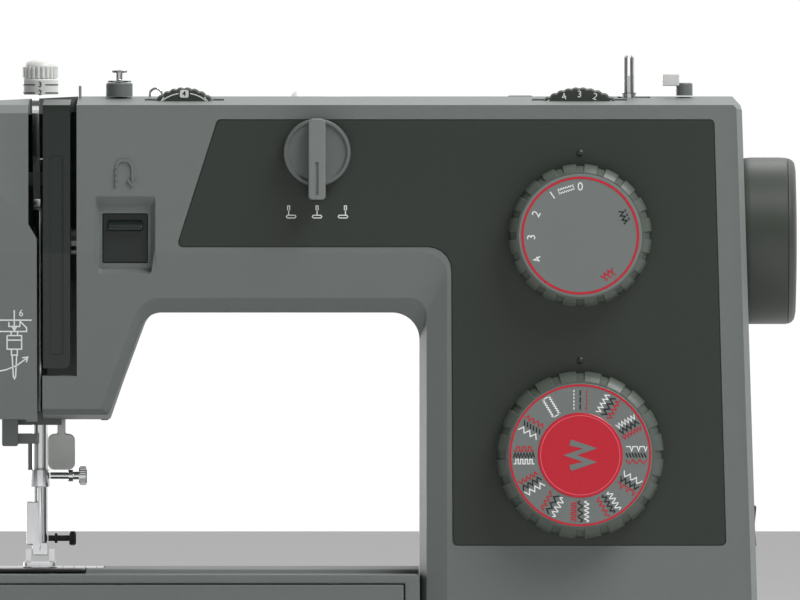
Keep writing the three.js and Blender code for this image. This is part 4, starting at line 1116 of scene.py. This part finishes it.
guide_low, guide_high = corners_of("bobbin_thread_guide")
guide = middle_of("bobbin_thread_guide")
boss_radius = (guide_high.x - guide_low.x) / 2
guide_height = guide_high.z - top
boss_profile = [
    (0, guide_low.z - top), (boss_radius, guide_low.z - top), (boss_radius, 5.4),
    (boss_radius - 0.5, 6), (0, 6)]
disc_profile = [
    (0, 6), (boss_radius - 0.7, 6.2), (boss_radius - 0.5, 6.9), (1.9, 7.3), (1.7, 7.5),
    (1.7, guide_height - 1.4), (3.4, guide_height - 1.2), (3.6, guide_height - 0.4),
    (3.1, guide_height), (0, guide_height)]
guide_spot = (guide.x, guide.y, top)
piece(
    "guide_boss", turned(boss_profile, "z", guide_spot, 48), casing_grey, "casing",
    ["bobbin_thread_guide"])
piece("guide_disc", turned(disc_profile, "z", guide_spot, 48), chrome, "casing")
piece(
    "guide_pin",
    turned(capped(0.65, top - 1, top + 4.7, 0.2), "z", (slot_right + 0.9, guide.y - 2, 0), 20),
    steel, "casing")

# ---------------------------------------------------------------- bobbin winder
# A chrome spindle with a spring slot on a small black carriage that slides sideways in the
# top, and a stop that the full bobbin rubs against: a grey post with a white block.

spindle_low, spindle_high = corners_of("winder_spindle")
spindle_radius = 2.6
spindle = turned([
    (0, spindle_low.z), (3.4, spindle_low.z), (3.4, top + 1.3), (3.1, top + 1.6),
    (spindle_radius, top + 1.6), (spindle_radius, spindle_high.z - 0.9),
    (spindle_radius - 0.7, spindle_high.z), (0, spindle_high.z)], "z", (winder.x, winder.y, 0),
    40)
spring_slot = brick(
    (winder.x - 0.45, winder.x + 0.45), (winder.y - 4, winder.y + 4),
    (spindle_high.z - 9, spindle_high.z + 1))
piece(
    "winder_pin", carve(spindle, spring_slot), chrome, "winder_spindle",
    ["winder_spindle"])
refined("winder_carriage", "winder_arm", black_plastic, "winder_arm", 0.4)
stop_low, stop_high = corners_of("winder_stopper")
stop_x, stop_y = stop_high.x - 3.7, middle_of("winder_stopper").y
piece(
    "winder_post",
    turned(
        [(0, stop_low.z), (3.7, stop_low.z), (3.7, top + 5.4), (3.2, top + 6), (0, top + 6)], "z",
        (stop_x, stop_y, 0), 40), dial_grey, "casing", ["winder_stopper"])
piece(
    "winder_block",
    soften(
        brick((stop_low.x, stop_x - 2.2), (stop_y - 3.2, stop_y + 3.2), (top + 4.6, stop_high.z)),
        0.5), white_plastic, "casing")

# ---------------------------------------------------------------- spool pin, cap and handle
# The thread spool lies on a white rod in a trough in the top, held by a white cap. The rod
# is fixed in a black holder. Behind it the carrying handle lies flush in the top.

pin_low, pin_high = corners_of("spool_pin")
cap = middle_of("spool_cap")
pin_radius = 3.0
piece(
    "spool_rod",
    turned(capped(pin_radius, pin_low.x, pin_high.x - 12, 1.2), "x", (0, cap.y, cap.z), 40),
    white_plastic, "casing")
piece(
    "spool_holder",
    soften(
        brick((pin_high.x - 12, pin_high.x), (pin_low.y, pin_high.y), (pin_low.z, pin_high.z)),
        1.2), black_plastic, "casing", ["spool_pin"])
refined("spool_end_cap", "spool_cap", white_plastic, "spool_cap", 0.8, 30)
refined("carry_handle", "carrying_handle", casing_grey, "carrying_handle", 1.2, 24)

# ---------------------------------------------------------------- free arm, plate and tray
# The free arm and the accessory tray round it are the casing plastic. A brushed steel plate
# with guide lines covers the feed, and a black slide covers the bobbin in front of it.

refined("free_arm", "free_arm_cover", casing_grey, "casing", 1.2, 24)
refined("stitch_plate", "needle_plate", steel, "casing", 0.3)
plate_low, plate_high = corners_of("needle_plate")
plate_lines = bmesh.new()
for out in (10, 15, 20, 25):
    brick(
        (needle_x + out - 0.2, needle_x + out + 0.2), (plate_low.y + 4, plate_high.y - 8),
        (plate_high.z - 0.05, plate_high.z + 0.03), plate_lines)
piece("plate_lines", plate_lines, black_ink, "casing")
refined("bobbin_slide", "bobbin_cover", black_plastic, "bobbin_cover", 0.5)
refined("feed_teeth", "feed_dog", steel, "feed_dog", 0.08, 40)
refined("feed_lever", "drop_feed_lever", black_plastic, "drop_feed_lever", 0.5)
refined("tray", "accessory_tray", casing_grey, "accessory_tray", 1.2, 24)
refined("tray_door", "tray_lid", casing_grey, "tray_lid", 0.6, 24)
refined("base_pan", "base_cover", black_plastic, "casing", 0.8)

# ---------------------------------------------------------------- feet, inlet and switch
# Four rubber feet stand in the base. The supply inlet and the rocker switch, both black,
# sit low in the right side, with the usual off and on marks in white.

rubber = moulded("rubber", linear(26, 26, 26), 0.75, 0.4)
for end in ("front_left", "rear_left", "front_right", "rear_right"):
    low, high = corners_of("foot_" + end)
    radius = (high.x - low.x) / 2
    piece(
        "rubber_foot_" + end,
        turned([
            (0, low.z), (radius - 1.6, low.z), (radius - 0.4, low.z + 1.2), (radius, high.z),
            (0, high.z)], "z", ((low.x + high.x) / 2, (low.y + high.y) / 2, 0), 48), rubber,
        "casing", ["foot_" + end])
refined("inlet_shell", "power_inlet", black_plastic, "casing", 0.5)
refined("switch_rocker", "power_switch", black_plastic, "power_switch", 0.6, 20)
switch_marks = bmesh.new()
switch_y, switch_z = (switch_low.y + switch_high.y) / 2, (switch_low.z + switch_high.z) / 2
mark_x = switch_high.x - 0.35
brick(
    (mark_x - 0.3, mark_x), (switch_y - 0.35, switch_y + 0.35), (switch_z + 3.6, switch_z + 6.6),
    switch_marks)
turned(
    [(1.1, -0.3), (1.6, -0.3), (1.6, 0), (1.1, 0), (1.1, -0.3)], "x",
    (mark_x, switch_y, switch_z - 5), 32, switch_marks)
piece("switch_marks", switch_marks, white_ink, "power_switch")

# ---------------------------------------------------------------- works inside the casing
# The frame, shafts, motor, hook and belts are hidden but for what shows in the slots: they
# keep the shapes of the frame and take the finishes of cast, turned and moulded parts.

inside = {
    cast_metal: ("inner_frame",),
    steel: (
        "main_shaft", "timing_pulley", "crank_disc", "motor", "motor_pulley", "lower_shaft",
        "rotary_hook"), black_plastic: ("drive_pulley", "bobbin_case"),
    rubber: ("drive_belt", "timing_belt"), white_plastic: ("bobbin", "lamp")}
for finish_of_group, nodes in inside.items():
    for node in nodes:
        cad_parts[node].data.materials.clear()
        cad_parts[node].data.materials.append(finish_of_group)

# ---------------------------------------------------------------- floor
# A plain pale sheet, wide enough that its edges aren't seen.

floor = bmesh.new()
bmesh.ops.create_grid(floor, x_segments=1, y_segments=1, size=6)
floor_sheet = as_object(floor, "floor")
floor_sheet.data.materials.append(moulded("floor_pale", (0.72, 0.72, 0.72), 0.8, 0.02, 0.01))
